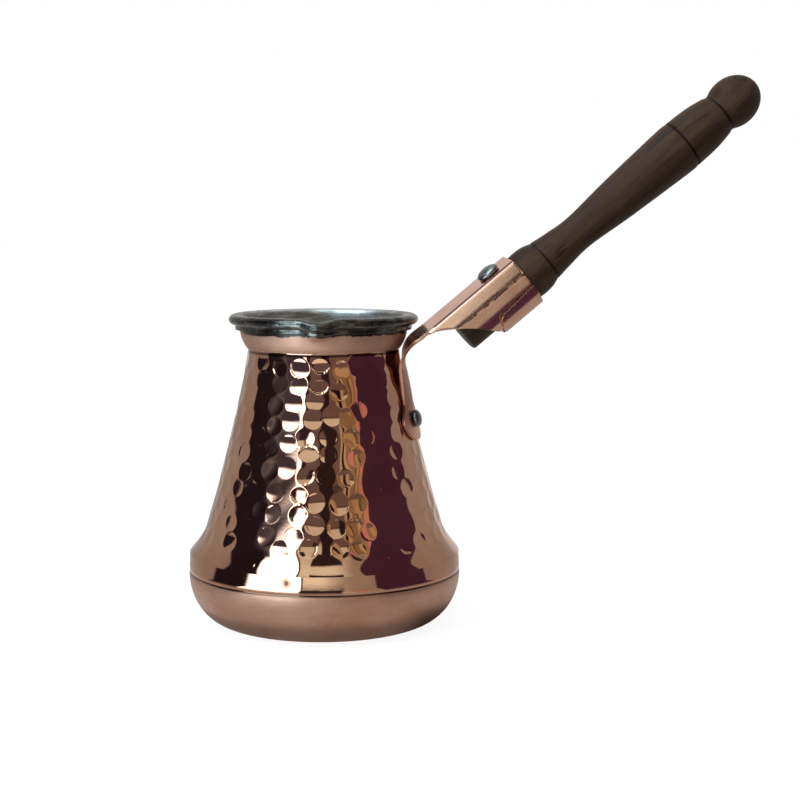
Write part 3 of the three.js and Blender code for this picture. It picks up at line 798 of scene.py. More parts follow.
def bracket_sheet():
    """Foot, strap and ferrule as one sheet, thickened, with soft edges."""
    near = Section(-1, NEAR_WRAP, 0)
    far = Section(1, FAR_WRAP, 1)
    crease_from = FERRULE_FLAT / 2 - CREASE_RADIUS
    steps = [*FLAT_COLUMNS, crease_from]
    steps += [crease_from + CREASE_STEP * i for i in range(1, CREASE_COLUMNS + 1)]
    while steps[-1] < far.full:
        steps.append(steps[-1] + FLANK_STEP)
    columns = [-s for s in steps[:0:-1]] + steps

    rows = foot_rows(columns) + strap_rows(columns)
    wing_start = crossing(near.line, wing_edge(-WING_LENGTH), False)
    places = [*np.linspace(-FERRULE_REACH, -WING_LENGTH, WIDEN_ROWS)[:-1]]
    places += [*np.linspace(-WING_LENGTH, -WRAP_LENGTH, WING_ROWS), -FLAP_LENGTH - FLAP_STEP]
    places += [*(-FLAP_LENGTH + FLAP_CORNER * np.linspace(0, 1, CORNER_ROWS) ** CORNER_CROWDING)]
    places += [*np.linspace(-FLAP_LENGTH + FLAP_CORNER, 0, FLAP_ROWS)[1:]]
    bottom = underneath(far.line)
    for x in places:
        if x < -WING_LENGTH:
            blend = float(smoothstep(-FERRULE_REACH, -WING_LENGTH, x))
            near_end = far_end = crease_from + (wing_start - crease_from) * blend
        elif x < -WRAP_LENGTH:
            near_end = crossing(near.line, wing_edge(x), False)
            far_end = crossing(far.line, wing_edge(x), False)
        else:
            near_end = near.full
            far_end = bottom if x < -FLAP_LENGTH else crossing(far.line, flap_edge(x), True)
        row = []
        for s in columns:
            part, end = (near, near_end) if s < 0 else (far, far_end)
            row.append(part.place(x, end if abs(s) > end - EDGE_SNAP else abs(s)))
        rows.append(row)

    # The faces turn their fronts outwards.
    faces = [(a, d, c, b) for a, b, c, d in grid_faces(len(rows), len(columns))]
    piece = make_mesh("bracket_sheet", [p for row in rows for p in row], faces)
    mesh = piece.data
    shape = bmesh.new()
    shape.from_mesh(mesh)
    bmesh.ops.remove_doubles(shape, verts=shape.verts, dist=MERGE_WITHIN * MM)
    bmesh.ops.dissolve_degenerate(shape, edges=shape.edges, dist=MERGE_WITHIN / 2 * MM)
    shape.to_mesh(mesh)
    shape.free()
    thick = piece.modifiers.new("thickness", "SOLIDIFY")
    thick.thickness = SHEET * MM
    thick.offset = 0
    soft = piece.modifiers.new("edges", "BEVEL")
    soft.width = SHEET_EDGE * MM
    soft.segments = EDGE_SEGMENTS
    soft.limit_method = "ANGLE"
    soft.angle_limit = radians(EDGE_ANGLE)
    bake_modifiers(piece)
    back = HANDLE_FRAME.inverted()
    keep_place(piece, [c * MM for v in piece.data.vertices for c in back @ (v.co / MM)])
    return piece


# Handle, rivet and pin


def wooden_grip():
    """The handle's profile, turned from the tenon's end to the knob."""
    tenon = [
        (0, -TENON_LENGTH),
        (TENON_RADIUS - TENON_CHAMFER, -TENON_LENGTH),
        (TENON_RADIUS - TENON_CHAMFER / 3, -TENON_LENGTH + TENON_CHAMFER / 3),
        (TENON_RADIUS, -TENON_LENGTH + TENON_CHAMFER),
        (TENON_RADIUS, FIT_GAP),
    ]
    collar = [
        (COLLAR_RADIUS - COLLAR_ROUND / 2, FIT_GAP),
        (COLLAR_RADIUS, COLLAR_LENGTH / 3),
        (COLLAR_RADIUS - COLLAR_ROUND, 2 * COLLAR_LENGTH / 3),
        (GROOVE_RADIUS + COLLAR_ROUND, COLLAR_LENGTH - GROOVE_WIDTH / 2),
    ]
    before_waist = (COLLAR_LENGTH + WAIST_PLACE) / 2 - WAIST_HOLLOW
    shaft = [
        (GROOVE_RADIUS + COLLAR_ROUND / 2, COLLAR_LENGTH + GROOVE_WIDTH / 2),
        ((GROOVE_RADIUS + WAIST_RADIUS) / 2, before_waist),
        (WAIST_RADIUS, WAIST_PLACE),
        ((WAIST_RADIUS + GRIP_RADIUS) / 2, (WAIST_PLACE + GRIP_PLACE) / 2 - GRIP_HOLLOW),
        (GRIP_RADIUS, GRIP_PLACE),
        (GRIP_RADIUS, RING_PLACE - RING_WIDTH / 2),
    ]
    tail = [
        (GRIP_RADIUS, RING_PLACE + RING_WIDTH / 2),
        (GRIP_RADIUS - RING_DEPTH, (RING_PLACE + HANDLE_NECK_PLACE) / 2),
        (HANDLE_NECK_RADIUS + HANDLE_NECK_FILLET / 3, HANDLE_NECK_PLACE - HANDLE_NECK_FILLET),
        (HANDLE_NECK_RADIUS, HANDLE_NECK_PLACE),
    ]
    ring = arc((GRIP_RADIUS, RING_PLACE), (RING_DEPTH, RING_WIDTH / 2), -90, -270, RING_STEPS)[1:-1]
    knob_from = -degrees(acos(HANDLE_NECK_RADIUS / KNOB_RADIUS))
    knob_radii = (KNOB_RADIUS, HANDLE_LENGTH - KNOB_PLACE)
    knob = arc((0, KNOB_PLACE), knob_radii, knob_from, 90, KNOB_STEPS)
    profile = tenon + spline(collar, COLLAR_STEPS) + [(GROOVE_RADIUS, COLLAR_LENGTH)]
    profile += spline(shaft, SHAFT_STEPS) + ring + spline(tail, NECK_STEPS)
    profile += knob[1:-1] + [(0, HANDLE_LENGTH)]
    piece = lathe("wooden_grip", profile, HANDLE_SIDES)
    # The profile's height runs along the handle's own +X.
    piece.data.transform(Matrix(((0, 0, 1, 0), (1, 0, 0, 0), (0, 1, 0, 0), (0, 0, 0, 1))))
    return placed(HANDLE_FRAME, piece)


def dome(radius, rise, seat):
    """A domed head from its seat to its crown, with a soft lower edge."""
    edge = rise * HEAD_EDGE_SHARE
    crown = arc((0, seat + edge), (radius, rise - edge), 0, 90, HEAD_STEPS)
    return [(radius * HEAD_SEAT_SHARE, seat)] + crown


def wall_rivet():
    """Tail inside the wall, shank through wall and foot, domed head outside."""
    seat = FIT_GAP * 2 + SHEET
    inside = -(POT_WALL + FIT_GAP)
    rise = RIVET_TAIL_RISE / 2
    profile = arc((0, inside - rise), (RIVET_TAIL_RADIUS, rise), -90, 0, TAIL_STEPS)
    profile += [(RIVET_TAIL_RADIUS, inside)]
    profile += [(RIVET_SHANK_RADIUS, inside), (RIVET_SHANK_RADIUS, seat)]
    profile += dome(RIVET_HEAD_RADIUS, RIVET_HEAD_RISE, seat)
    return placed(RIVET_FRAME, lathe("wall_rivet", profile, PIN_SIDES))


def grip_pin():
    """Point inside the tenon, shank through the ferrule, domed head on its flat top."""
    profile = [(0, -PIN_LENGTH), (PIN_SHANK_RADIUS, PIN_TIP - PIN_LENGTH), (PIN_SHANK_RADIUS, 0)]
    profile += dome(PIN_HEAD_RADIUS, PIN_HEAD_RISE, 0)
    seat = Matrix.Translation((-PIN_PLACE, 0, FERRULE_TOP + FIT_GAP))
    return placed(HANDLE_FRAME @ seat, lathe("grip_pin", profile, PIN_SIDES))


# Finishes


class Tree:
    """A node tree that is built with short calls."""

    def __init__(self, tree):
        self.tree = tree

    def fill(self, socket, value):
        """Gives a socket a fixed value, or links it to another socket."""
        if isinstance(value, bpy.types.NodeSocket):
            self.tree.links.new(value, socket)
        else:
            socket.default_value = value

    def node(self, kind, **values):
        """A new node. Its inputs are named, with _ for a space, or numbered as in _0."""
        node = self.tree.nodes.new("ShaderNode" + kind)
        for name, value in values.items():
            place = int(name[1:]) if name[0] == "_" else name.replace("_", " ")
            self.fill(node.inputs[place], value)
        return node

    def math(self, operation, a, b=0.0):
        node = self.node("Math", _0=a, _1=b)
        node.operation = operation
        return node.outputs[0]

    def most(self, a, b):
        return self.math("MAXIMUM", a, b)


class Finish(Tree):
    """A material on the Principled shader, with the patterns that its metal or wood needs."""

    def __init__(self, name, metallic, roughness, own_place=False):
        self.material = bpy.data.materials.new(name)
        self.material.use_nodes = True
        super().__init__(self.material.node_tree)
        self.shader = self.tree.nodes["Principled BSDF"]
        self.set("Metallic", metallic)
        self.set("Roughness", roughness)
        if own_place:
            stored = self.node("Attribute")
            stored.attribute_name = "own_place"
            self.place = stored.outputs["Vector"]
        else:
            self.place = self.node("TexCoord").outputs["Object"]
        self.x, self.y, self.z = self.split(self.place)

    def set(self, name, value):
        self.fill(self.shader.inputs[name], value)

    def times(self, a, b):
        return self.math("MULTIPLY", a, b)

    def plus(self, a, b):
        return self.math("ADD", a, b)

    def away(self, value, centre):
        return self.math("ABSOLUTE", self.math("SUBTRACT", value, centre))

    def span(self, a, b):
        """The length of (a, b)."""
        return self.math("SQRT", self.plus(self.times(a, a), self.times(b, b)))

    def split(self, vector):
        return self.node("SeparateXYZ", _0=vector).outputs[:3]

    def facing(self):
        """The three parts of the surface's normal."""
        return self.split(self.node("NewGeometry").outputs["Normal"])

    def ramp(self, value, low, high, out_low=0.0, out_high=1.0):
        """A soft rise from out_low to out_high while the value goes from low to high."""
        node = self.node("MapRange", Value=value, From_Min=low, From_Max=high)
        self.fill(node.inputs["To Min"], out_low)
        self.fill(node.inputs["To Max"], out_high)
        node.interpolation_type = "SMOOTHSTEP"
        return node.outputs[0]

    def line(self, value, centre, half):
        """1 on a thin soft-edged line where the value passes a centre, 0 elsewhere."""
        return self.ramp(self.away(value, centre), half, half * LINE_CORE)

    def noise(self, scale, detail=4.0, roughness=0.6, stretch=(1, 1, 1), distortion=0.0):
        place = self.node("Mapping", Scale=stretch, Vector=self.place).outputs[0]
        node = self.node("TexNoise", Vector=place, Scale=scale, Detail=detail)
        self.fill(node.inputs["Roughness"], roughness)
        self.fill(node.inputs["Distortion"], distortion)
        return node.outputs["Fac"]

    def shaken(self, value, reach, *noise, **more):
        """The value with noise added, whose full range is the reach."""
        shake = self.math("SUBTRACT", self.noise(*noise, **more), 0.5)
        return self.plus(value, self.times(shake, reach))

    def mix(self, share, a, b):
        """Colour a where the share is 0, colour b where it is 1."""
        node = self.node("Mix", _0=share, _6=a, _7=b)
        node.data_type = "RGBA"
        return node.outputs[2]

    def blend(self, share, a, b):
        """The same with values."""
        return self.node("Mix", _0=share, _2=a, _3=b).outputs[0]

    def bump(self, height, strength, distance):
        node = self.node("Bump", Height=height, Strength=strength, Distance=distance)
        self.set("Normal", node.outputs[0])


LINE_CORE = 0.35
COPPER_LIGHT = (0.58, 0.335, 0.225, 1)
COPPER_DEEP = (0.47, 0.25, 0.165, 1)
COPPER_SHEET = (0.78, 0.46, 0.36, 1)
COPPER_DULL = (0.30, 0.12, 0.065, 1)
COPPER_SATIN = (0.54, 0.325, 0.225, 1)
COPPER_SMUDGE = (0.42, 0.20, 0.115, 1)
COPPER_STAIN = (0.43, 0.24, 0.165, 1)
# The darkest copper: painted shade in creases and at the flap's cut edge, a painted dark reflection
# on the near wing, and the core of the dark spot.
COPPER_CREASE = (0.06, 0.03, 0.02, 1)
# On the pot, in millimetres: how far the soft edges of satin and tin reach, and where the
# dark lines of painted shade run beside the belt's edge and the neck's crease.
BAND_EDGE = 0.1
COLLAR_EDGE = 0.25
TIN_FADE = 0.25
BELT_LINE_RISE = 0.15
NECK_LINE_DROP = 0.7
# In metres: half the width of the painted dark lines, and the dark spot on the shoulder's small
# dent
LINE_HALF = 0.0006
WIDE_LINE_HALF = 0.0007
SPOT_PLACE = (-0.01025, -0.0482, 0.0237)
SPOT_HALO = (0.0023, 0.0014)
SPOT_CORE = (0.0011, 0.0006)
SPOT_RIM = (0.19, 0.105, 0.05, 1)
TIN_FRESH = (0.66, 0.68, 0.68, 1)
TIN_GREY = (0.26, 0.25, 0.22, 1)
TIN_WORN = (0.20, 0.195, 0.17, 1)
TIN_BLACK = (0.03, 0.028, 0.024, 1)
STEEL_DARK = (0.085, 0.085, 0.085, 1)
STEEL_LIGHT = (0.31, 0.325, 0.32, 1)
WOOD_DARK = (0.034, 0.020, 0.0125, 1)
WOOD_LIGHT = (0.104, 0.064, 0.040, 1)
WOOD_FIGURE = (0.050, 0.026, 0.016, 1)
WOOD_PORE = (0.014, 0.008, 0.006, 1)
WOOD_GROOVE_DARK = (0.008, 0.004, 0.003, 1)
# On the bracket, in metres in the handle's frame: where the strap's bend turns into the
# ferrule, the creases beside the flat top with their painted shade, and the painted dark reflection
# along the fold on the near wing.
BEND_ALONG = (-0.047, -0.044)
BEND_ABOVE = (-0.018, -0.006)
CREASE_PLACE = (0.0064, 0.0094)
CREASE_ALONG = (-0.038, -0.036)
FOLD_REFLECTION_LEVEL = 0.0038
FOLD_REFLECTION_HALF = 0.0005
FOLD_REFLECTION_ALONG = (-0.028, -0.025)
FOLD_REFLECTION_SIDE = (-0.006, -0.0075)
NEAR_SIDE = (-0.0065, -0.0075)
CUT_BELOW = (0.003, 0.002)
CREASE_REACH = (0.0008, 0.0004)
SHINE_ALONG = (-0.046, -0.036)
# How far a face has to turn towards the wall, or up, to be one of these
WALL_SIDE = (-0.75, -0.9)
CUT_FACING = (0.5, 0.75)


def pot_copper():
    """Polished between the belt and the neck, satin on the base band and the collar."""
    n = Finish("pot_copper", 1.0, 0.1)
    level = n.shaken(n.z, 0.0003, 60, 2, 0.5)
    band = n.ramp(level, (BELT_EDGE + BAND_EDGE) * MM, (BELT_EDGE - BAND_EDGE) * MM)
    low, high = NECK_HEIGHT - BAND_EDGE, NECK_HEIGHT + COLLAR_EDGE
    collar = n.ramp(level, low * MM, high * MM)
    satin = n.most(band, collar)
    polished = n.mix(n.ramp(n.noise(38), 0.35, 0.7), COPPER_LIGHT, COPPER_DEEP)
    sides = [n.away(part, place) for part, place in zip((n.x, n.y, n.z), SPOT_PLACE)]
    spot = n.shaken(n.span(n.span(*sides[:2]), sides[2]), 0.0012, 700, 2, 0.5)
    polished = n.mix(n.ramp(spot, *SPOT_HALO, 0.0, 0.8), polished, SPOT_RIM)
    polished = n.mix(n.ramp(spot, *SPOT_CORE, 0.0, 0.9), polished, COPPER_CREASE)
    patches = n.noise(30, 5, 0.65, stretch=(1, 1, 2))
    worn = n.mix(n.ramp(patches, 0.4, 0.7), COPPER_SATIN, COPPER_STAIN)
    brushed = n.noise(60, 4, 0.7, stretch=(1, 1, 22))
    worn = n.mix(n.ramp(brushed, 0.42, 0.75, 0.0, 0.5), worn, COPPER_STAIN)
    smudges = n.noise(24, 5, 0.7, stretch=(1, 1, 3.5), distortion=0.6)
    worn = n.mix(n.ramp(smudges, 0.5, 0.66, 0.0, 0.55), worn, COPPER_SMUDGE)
    # Painted shade: dark lines along the belt's groove and just below the neck's crease.
    belt_line = n.line(level, (BELT_EDGE + BELT_LINE_RISE) * MM, LINE_HALF)
    neck_line = n.line(level, (NECK_HEIGHT - NECK_LINE_DROP) * MM, WIDE_LINE_HALF)
    lines = n.most(belt_line, neck_line)
    colour = n.mix(n.times(lines, 0.85), n.mix(satin, polished, worn), COPPER_CREASE)
    ragged = n.shaken(n.z, 0.0035, 130, 4, 0.7, stretch=(1, 1, 0.4))
    tin = n.ramp(ragged, (TIN_EDGE - TIN_FADE) * MM, (TIN_EDGE + TIN_FADE) * MM)
    n.set("Base Color", n.mix(tin, colour, TIN_BLACK))
    polish_rough = n.ramp(n.noise(160), 0.35, 0.8, 0.02, 0.06)
    satin_rough = n.ramp(n.noise(70), 0.3, 0.8, 0.38, 0.52)
    rough = n.blend(satin, polish_rough, n.plus(satin_rough, n.times(collar, 0.14)))
    n.set("Roughness", n.blend(tin, rough, 0.3))
    n.set("Metallic", n.blend(satin, 1.0, 0.82))
    grit = n.noise(420, 3, 0.6, stretch=(1, 1, 3))
    n.bump(n.times(grit, n.blend(satin, 0.08, 1.0)), 0.12, 0.0004)
    return n.material


def tinned():
    """Wiped tin: bright and streaky inside, worn and tarnished on the outside of the bead."""
    n = Finish("tinned", 0.85, 0.3)
    right, back, _ = n.facing()
    outward = n.plus(n.times(right, n.x), n.times(back, n.y))
    outward = n.math("DIVIDE", outward, n.span(n.x, n.y))
    inside = n.ramp(n.shaken(outward, 0.6, 90, 3, 0.5), 0.25, -0.25)
    streaks = n.noise(50, 5, 0.7, stretch=(1, 1, 5))
    fresh = n.mix(n.ramp(streaks, 0.38, 0.66), TIN_GREY, TIN_FRESH)
    tarnish = n.noise(110, 5, 0.7, stretch=(1, 1, 3))
    worn = n.mix(n.ramp(tarnish, 0.42, 0.72), TIN_BLACK, TIN_WORN)
    n.set("Base Color", n.mix(inside, worn, fresh))
    patchy = n.noise(80)
    shine = n.ramp(patchy, 0.3, 0.75, 0.14, 0.34)
    n.set("Roughness", n.blend(inside, shine, n.ramp(patchy, 0.3, 0.75, 0.34, 0.5)))
    n.bump(n.noise(230), 0.5, 0.0006)
    return n.material


def bracket_copper():
    """Sheet with draw lines along its length: dull on the strap, brighter on the ferrule."""
    n = Finish("bracket_copper", 1.0, 0.2, own_place=True)
    colour = n.mix(n.ramp(n.noise(45, 5, 0.6), 0.35, 0.75), COPPER_SHEET, COPPER_LIGHT)
    strap = n.ramp(n.x, *BEND_ALONG[::-1])
    colour = n.mix(n.times(strap, n.ramp(n.z, *BEND_ABOVE)), colour, COPPER_DULL)
    # Painted light: the strap's side that faces the wall is painted in the bright sheet colour, so
    # that its reflection in the wall reads light.
    normal = n.facing()
    colour = n.mix(n.times(n.ramp(normal[0], *WALL_SIDE), strap), colour, COPPER_SHEET)
    # The flap's cut edge on the near side is dull, and painted dark with shade.
    rise = 0.0
    for part, share in zip(normal, HANDLE_FRAME.col[2]):
        rise = n.plus(n.times(part, share), rise)
    side = n.times(n.ramp(n.y, *NEAR_SIDE), n.ramp(n.z, *CUT_BELOW))
    cut = n.times(n.ramp(rise, *CUT_FACING), side)
    colour = n.mix(n.times(cut, 0.85), colour, COPPER_CREASE)
    # Painted shade: a dark line is painted in the two scored creases beside the flat top.
    across = n.away(n.math("ABSOLUTE", n.y), CREASE_PLACE[0])
    corner = n.span(across, n.away(n.z, CREASE_PLACE[1]))
    crease = n.times(n.ramp(corner, *CREASE_REACH), n.ramp(n.x, *CREASE_ALONG))
    colour = n.mix(n.times(crease, 0.9), colour, COPPER_CREASE)
    # A painted dark reflection, broken, follows the fold on the near wing.
    jagged = n.shaken(n.z, 0.0012, 170, 3, 0.6, stretch=(1, 0, 0))
    fold_reflection = n.times(n.line(jagged, FOLD_REFLECTION_LEVEL, FOLD_REFLECTION_HALF), n.ramp(n.y, *FOLD_REFLECTION_SIDE))
    gaps = n.ramp(n.noise(260, 3, 0.6, stretch=(1, 0.1, 0.1)), 0.44, 0.52)
    fold_reflection = n.times(n.times(fold_reflection, gaps), n.ramp(n.x, *FOLD_REFLECTION_ALONG))
    n.set("Base Color", n.mix(n.times(fold_reflection, 0.85), colour, COPPER_CREASE))
    patchy = n.noise(90)
    shine = n.ramp(patchy, 0.3, 0.8, 0.14, 0.26)
    dull = n.ramp(patchy, 0.3, 0.8, 0.34, 0.46)
    n.set("Roughness", n.blend(cut, n.blend(n.ramp(n.x, *SHINE_ALONG), dull, shine), 0.6))
    n.bump(n.noise(200, stretch=(0.12, 1, 1)), 0.14, 0.0004)
    return n.material


def rivet_steel(name):
    """Grey steel with small pits."""
    n = Finish(name, 1.0, 0.3, own_place=True)
    n.set("Base Color", n.mix(n.noise(300), STEEL_DARK, STEEL_LIGHT))
    n.set("Roughness", n.ramp(n.noise(420), 0.3, 0.75, 0.2, 0.42))
    n.bump(n.noise(500, 3, 0.6), 0.3, 0.0004)
    return n.material


def walnut():
    """Dark turned walnut: long fibres, pores, and dark lines in the turned grooves."""
    n = Finish("walnut", 0.0, 0.5, own_place=True)
    n.set("Specular IOR Level", 0.12)
    fibre = n.noise(150, 5, 0.65, stretch=(0.07, 1, 1), distortion=0.4)
    figure = n.noise(42, stretch=(0.16, 1, 1), distortion=1.1)
    pores = n.ramp(n.noise(520, 3, 0.55, stretch=(0.06, 1, 1)), 0.6, 0.72)
    wood = n.mix(n.ramp(fibre, 0.3, 0.72), WOOD_DARK, WOOD_LIGHT)
    wood = n.mix(n.ramp(figure, 0.4, 0.75, 0.0, 0.65), wood, WOOD_FIGURE)
    wood = n.mix(n.times(pores, 0.75), wood, WOOD_PORE)
    # Dark lines are painted in the turned grooves at the collar, the ring and the neck.
    lines = n.line(n.x, COLLAR_LENGTH * MM, LINE_HALF)
    for place in (RING_PLACE, HANDLE_NECK_PLACE):
        lines = n.most(lines, n.line(n.x, place * MM, WIDE_LINE_HALF))
    n.set("Base Color", n.mix(n.times(lines, 0.92), wood, WOOD_GROOVE_DARK))
    n.set("Roughness", n.ramp(fibre, 0.3, 0.75, 0.42, 0.62))
    n.bump(n.math("SUBTRACT", n.times(fibre, 0.4), pores), 0.25, 0.0003)
    return n.material


def dress(piece, materials, node):
    """Gives a piece its finish and its body, and hides the solid that it stands for."""
    for material in materials:
        piece.data.materials.append(material)
    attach(piece, "root")
    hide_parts(node)


# Studio. The room is one shell round the pot that only the metals show. Azimuths are in
# degrees to the right of the camera, seen from the pot, and elevations from just above its base.
ROOM_RADIUS = 1.5
ROOM_CENTRE = 0.02
ROOM_FLOOR = 0.0004
ROOM_AZIMUTH_STEP = 0.75
ROOM_ELEVATIONS = [(-28, -11, 0.5), (-11, 3, 0.2), (3, 91, 0.7)]
CAMERA_AZIMUTH = 3.4
LAMP_DISTANCE = 1.35
LAMP_TARGET = 0.05
# Name, azimuth, elevation, size in metres, radiance
LAMPS = [("lamp_left", -50, 40, 0.8, 2.9), ("lamp_top", 20, 75, 0.9, 0.6)]
WORLD_LIGHT = 0.36
FLOOR_REACH = 6000
FLOOR_GLOW = 0.9
FLOOR_SHADE = 0.3
FLOOR_TONE = 0.64
ROOM_WALL = (0.72, 0.70, 0.68)
WINDOW = (4.0, 5.0, 5.9)
NIGHT = (0.028, 0.020, 0.034)
PLUM = (0.088, 0.040, 0.086)
FRAME = (0.09, 0.07, 0.06)
# Name, west edge at foot and head, east edge at foot and head, foot, head, blur of the sides
# and of the ends, colour.
ROOM = [
    ("back_shade", -168, -150, 140, 165, -25, 62, 6, 8, (0.47, 0.455, 0.43)),
    ("ceiling", -180, -180, 180, 180, 66, 95, 1, 6, (0.60, 0.60, 0.57)),
    ("drape_left", -106, -106, -64, -62, 2.5, 70, 2, 2, NIGHT),
    ("drape_foot", -95, -84, -57, -57, -9.5, 3, 2, 1, NIGHT),
    ("gauze", -66, -64, -52, -50, 4, 58, 7, 5, (0.15, 0.17, 0.24)),
    ("sill", -58, -56, -25, -24, 2, 23, 4, 2.5, (0.10, 0.095, 0.14)),
    ("window", -54, -52, -22, -43, 21, 84, 7, 2.6, WINDOW),
    ("window_high", -68, -150, -27, -46, 44, 90, 2, 3, WINDOW),
    ("window_foot", -32, -32, -26, -26, 10, 30, 0.8, 2, WINDOW),
    ("window_floor", -63, -50, -16.5, -16.5, -9.5, 2.5, 2, 0.8, WINDOW),
    ("curtain_edge", -25.5, -25.5, -19.5, -19.5, 3, 27, 0.6, 1.5, (0.055, 0.038, 0.055)),
    ("plaster", -19.5, -19.5, -5, -5, 3, 24, 0.7, 1.0, (0.235, 0.20, 0.215)),
    ("lit_wall", -24, -35, 30, 64, 24, 66, 0.7, 1.0, (1.05, 1.16, 1.00)),
    ("lit_ceiling", -33.3, -44, 57, 92, 59, 90, 1.0, 2.0, (1.20, 1.35, 1.20)),
    ("dim_ceiling", 24, 28, 110, 110, 45, 90, 14, 4, (0.50, 0.47, 0.42)),
    ("plaster_right", 8, 8, 21, 21, 2, 25, 0.7, 1.0, (0.26, 0.20, 0.19)),
    ("post", 19, 19, 23, 23, 12, 58, 0.5, 1.0, (0.72, 0.62, 0.40)),
    ("timber", 25, 25, 41, 41, 2, 48, 0.7, 1.0, (0.40, 0.31, 0.18)),
    ("timber_lit", 25, 25, 28, 28, 2, 48, 0.5, 1.0, (0.78, 0.64, 0.38)),
    ("timber_seam", 34, 34, 35.5, 35.5, 2, 48, 0.4, 1.0, (0.16, 0.10, 0.08)),
    ("timber_edge", 35.5, 35.5, 38.5, 38.5, 2, 48, 0.4, 1.0, (0.66, 0.52, 0.28)),
    ("seam", 22, 22, 25, 25.5, 2, 48, 0.3, 1.0, (0.03, 0.02, 0.03)),
    ("baseboard", 8, 8, 41, 41, 2, 13, 0.7, 1.5, (0.25, 0.20, 0.185)),
    ("shelf", -19, -19, 19, 19, 22.0, 23.2, 0.5, 0.4, (0.10, 0.07, 0.07)),
    ("shade", -5, -5, 8, 8, 3.2, 50, 0.7, 1.0, (0.045, 0.03, 0.035)),
    ("shade_top", -12, -20, 14, 24, 43, 61, 0.8, 1.2, (0.05, 0.035, 0.038)),
    ("lit_floor", -16.5, -16.5, 30, 33, -9.5, 3.2, 0.8, 0.5, (1.45, 1.60, 1.45)),
    ("dim_floor", 6, 6, 60, 60, -9.5, 2, 14, 0.5, (0.50, 0.48, 0.42)),
    ("frame_foot", -17.4, -17.4, -16, -16, -9.5, 3, 0.3, 0.5, FRAME),
    ("frame_edge", -25.2, -37, -23.4, -34.4, 24, 66, 0.4, 1.0, FRAME),
    ("coral", 41, 41, 46, 46, 0, 50, 0.5, 1.5, (0.82, 0.42, 0.38)),
    ("drape_right", 46, 46, 99, 99, 0, 70, 0.6, 1.0, PLUM),
    ("drape_near", 40, 33, 84, 74, -9.8, 1.5, 0.6, 0.8, PLUM),
    ("lip_shade", -17, -17, 11, 14, -10, -5.6, 1.5, 0.6, (0.06, 0.045, 0.045)),
    ("lip_coral", 20, 20, 30, 30, -9.5, -6.5, 2.0, 0.6, (0.62, 0.36, 0.26)),
    ("table", -180, -180, 180, 180, -30, -10.2, 1, 0.7, (0.70, 0.68, 0.68)),
    ("foot_shade", -180, -180, 180, 180, -32, -21.5, 1, 1.5, (0.25, 0.23, 0.23)),
    ("foot_shade_right", 45, 45, 150, 150, -32, -19.5, 16, 2.5, (0.04, 0.03, 0.03)),
]


def direction(azimuth, elevation):
    """The unit vector from the pot in a direction, in degrees."""
    a = radians(azimuth + CAMERA_AZIMUTH)
    e = radians(elevation)
    return Vector((sin(a) * cos(e), -cos(a) * cos(e), sin(e)))


def room_colour(azimuth, elevation):
    """What the room shows in a direction: the list's surfaces, each over the one before."""
    colour = np.zeros(azimuth.shape + (3,)) + ROOM_WALL
    for _, west_low, west_high, east_low, east_high, low, high, side, end, paint in ROOM:
        climb = np.clip((elevation - low) / (high - low), 0, 1)
        west = west_low + (west_high - west_low) * climb
        east = east_low + (east_high - east_low) * climb
        cover = smoothstep(-end, end, elevation - low) * smoothstep(-end, end, high - elevation)
        if west_low > -180:
            cover *= smoothstep(-side, side, azimuth - west)
            cover *= smoothstep(-side, side, east - azimuth)
        colour += cover[..., None] * (np.array(paint) - colour)
    return colour


def bare_material(name):
    """A material without nodes, and its tree."""
    material = bpy.data.materials.new(name)
    material.use_nodes = True
    material.node_tree.nodes.clear()
    return material, Tree(material.node_tree)


def room():
    """The painted shell: a dome, and under the horizon a floor that reaches the pot's foot."""
    azimuths = np.arange(-180, 180.5, ROOM_AZIMUTH_STEP)
    elevations = np.concatenate([np.arange(*part) for part in ROOM_ELEVATIONS])
    points = []
    for elevation in elevations:
        for azimuth in azimuths:
            way = direction(azimuth, elevation)
            reach = ROOM_RADIUS
            if way.z < 0:
                reach = min(reach, (ROOM_CENTRE - ROOM_FLOOR) / -way.z)
            points.append((way * reach + Vector((0, 0, ROOM_CENTRE))) / MM)
    shell = make_mesh("room", points, grid_faces(len(elevations), len(azimuths)))
    grid = np.meshgrid(elevations, azimuths, indexing="ij")
    colour = room_colour(grid[1], grid[0]).reshape(-1, 3)
    paint = shell.data.color_attributes.new("paint", "FLOAT_COLOR", "POINT")
    paint.data.foreach_set("color", np.hstack([colour, np.ones((len(colour), 1))]).ravel())
    # The shell shows its paint and lights nothing by itself.
    material, t = bare_material("room")
    material.cycles.emission_sampling = "NONE"
    painted = t.node("Attribute")
    painted.attribute_name = "paint"
    shine = t.node("Emission", Color=painted.outputs["Color"])
    t.node("OutputMaterial", Surface=shine.outputs[0])
    shell.data.materials.append(material)
    for seen in ("visible_camera", "visible_diffuse", "visible_shadow", "visible_transmission"):
        setattr(shell, seen, False)


def softbox(name, azimuth, elevation, size, radiance):
    """A square lamp that looks at the pot. Its radiance is what a mirror would show."""
    lamp = bpy.data.lights.new(name, "AREA")
    lamp.size = size
    lamp.energy = radiance * pi * size**2
    item = add_object(name, lamp)
    way = direction(azimuth, elevation)
    item.location = way * LAMP_DISTANCE + Vector((0, 0, LAMP_TARGET))
    item.rotation_euler = way.to_track_quat("Z", "Y").to_euler()
    item.visible_glossy = False


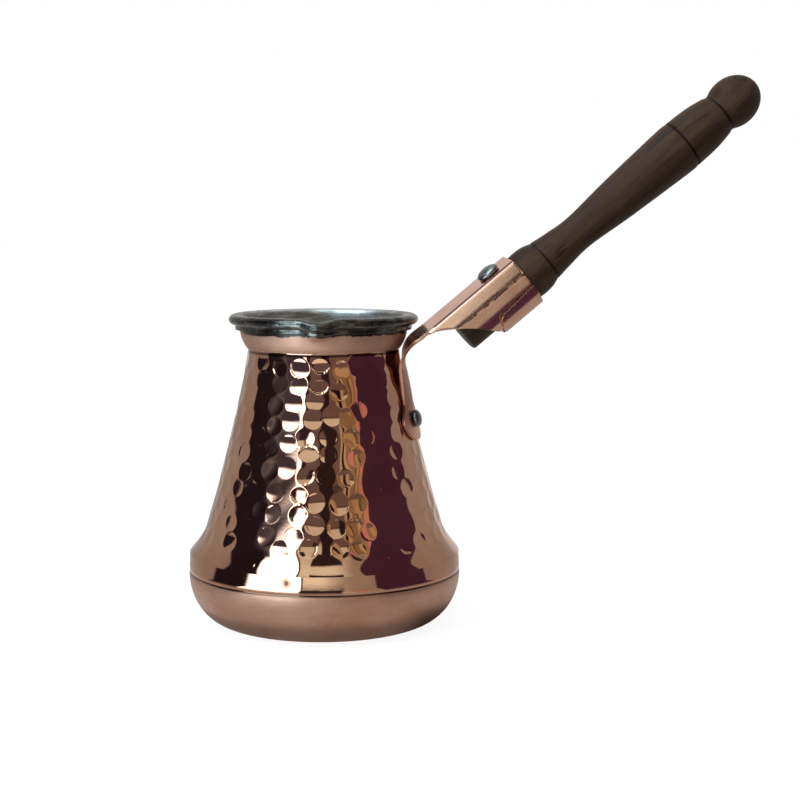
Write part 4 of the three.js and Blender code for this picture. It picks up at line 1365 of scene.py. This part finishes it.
def shown(t):
    """1 for the rays that show a background: camera, mirror and see-through rays."""
    path = t.node("LightPath").outputs
    seen = t.most(path["Is Camera Ray"], path["Is Glossy Ray"])
    return t.most(seen, path["Is Transmission Ray"])


def floor():
    """A floor that looks white and takes the pot's soft shade."""
    corners = [(-1, -1), (1, -1), (1, 1), (-1, 1)]
    points = [(x * FLOOR_REACH, y * FLOOR_REACH, 0) for x, y in corners]
    plane = make_mesh("floor", points, [(0, 1, 2, 3)])
    material, t = bare_material("floor")
    tone, shade = [
        t.node("BsdfDiffuse", Color=(value, value, value, 1)).outputs[0]
        for value in (FLOOR_TONE, FLOOR_SHADE)
    ]
    shine = t.node("Emission", Strength=FLOOR_GLOW).outputs[0]
    white = t.node("AddShader", _0=shade, _1=shine).outputs[0]
    both = t.node("MixShader", _0=shown(t), _1=tone, _2=white)
    t.node("OutputMaterial", Surface=both.outputs[0])
    plane.data.materials.append(material)


def studio():
    """Room, floor, lamps and the world's even light."""
    room()
    for lamp in LAMPS:
        softbox(*lamp)
    world = bpy.data.worlds.new("studio")
    world.use_nodes = True
    t = Tree(world.node_tree)
    back = world.node_tree.nodes["Background"]
    t.fill(back.inputs["Color"], (1, 1, 1, 1))
    strength = t.node("MapRange", Value=shown(t), To_Min=WORLD_LIGHT)
    t.fill(back.inputs["Strength"], strength.outputs[0])
    bpy.context.scene.world = world
    floor()


def camera():
    """The photograph's view."""
    data = bpy.data.cameras.new("camera")
    data.lens = CAMERA_LENS
    data.sensor_width = CAMERA_SENSOR
    data.clip_start = CAMERA_NEAREST
    item = add_object("camera", data)
    item.location = CAMERA_PLACE
    item.rotation_euler = (radians(CAMERA_TILT), 0, radians(CAMERA_TURN))
    bpy.context.scene.camera = item


bpy.context.scene.view_settings.view_transform = "Standard"
camera()
studio()
dress(pot_shell(), [pot_copper(), tinned()], "pot_body")
dress(bracket_sheet(), [bracket_copper()], "handle_bracket")
dress(wall_rivet(), [rivet_steel("rivet_steel")], "body_rivet")
dress(wooden_grip(), [walnut()], "wooden_handle")
dress(grip_pin(), [rivet_steel("pin_steel")], "handle_pin")
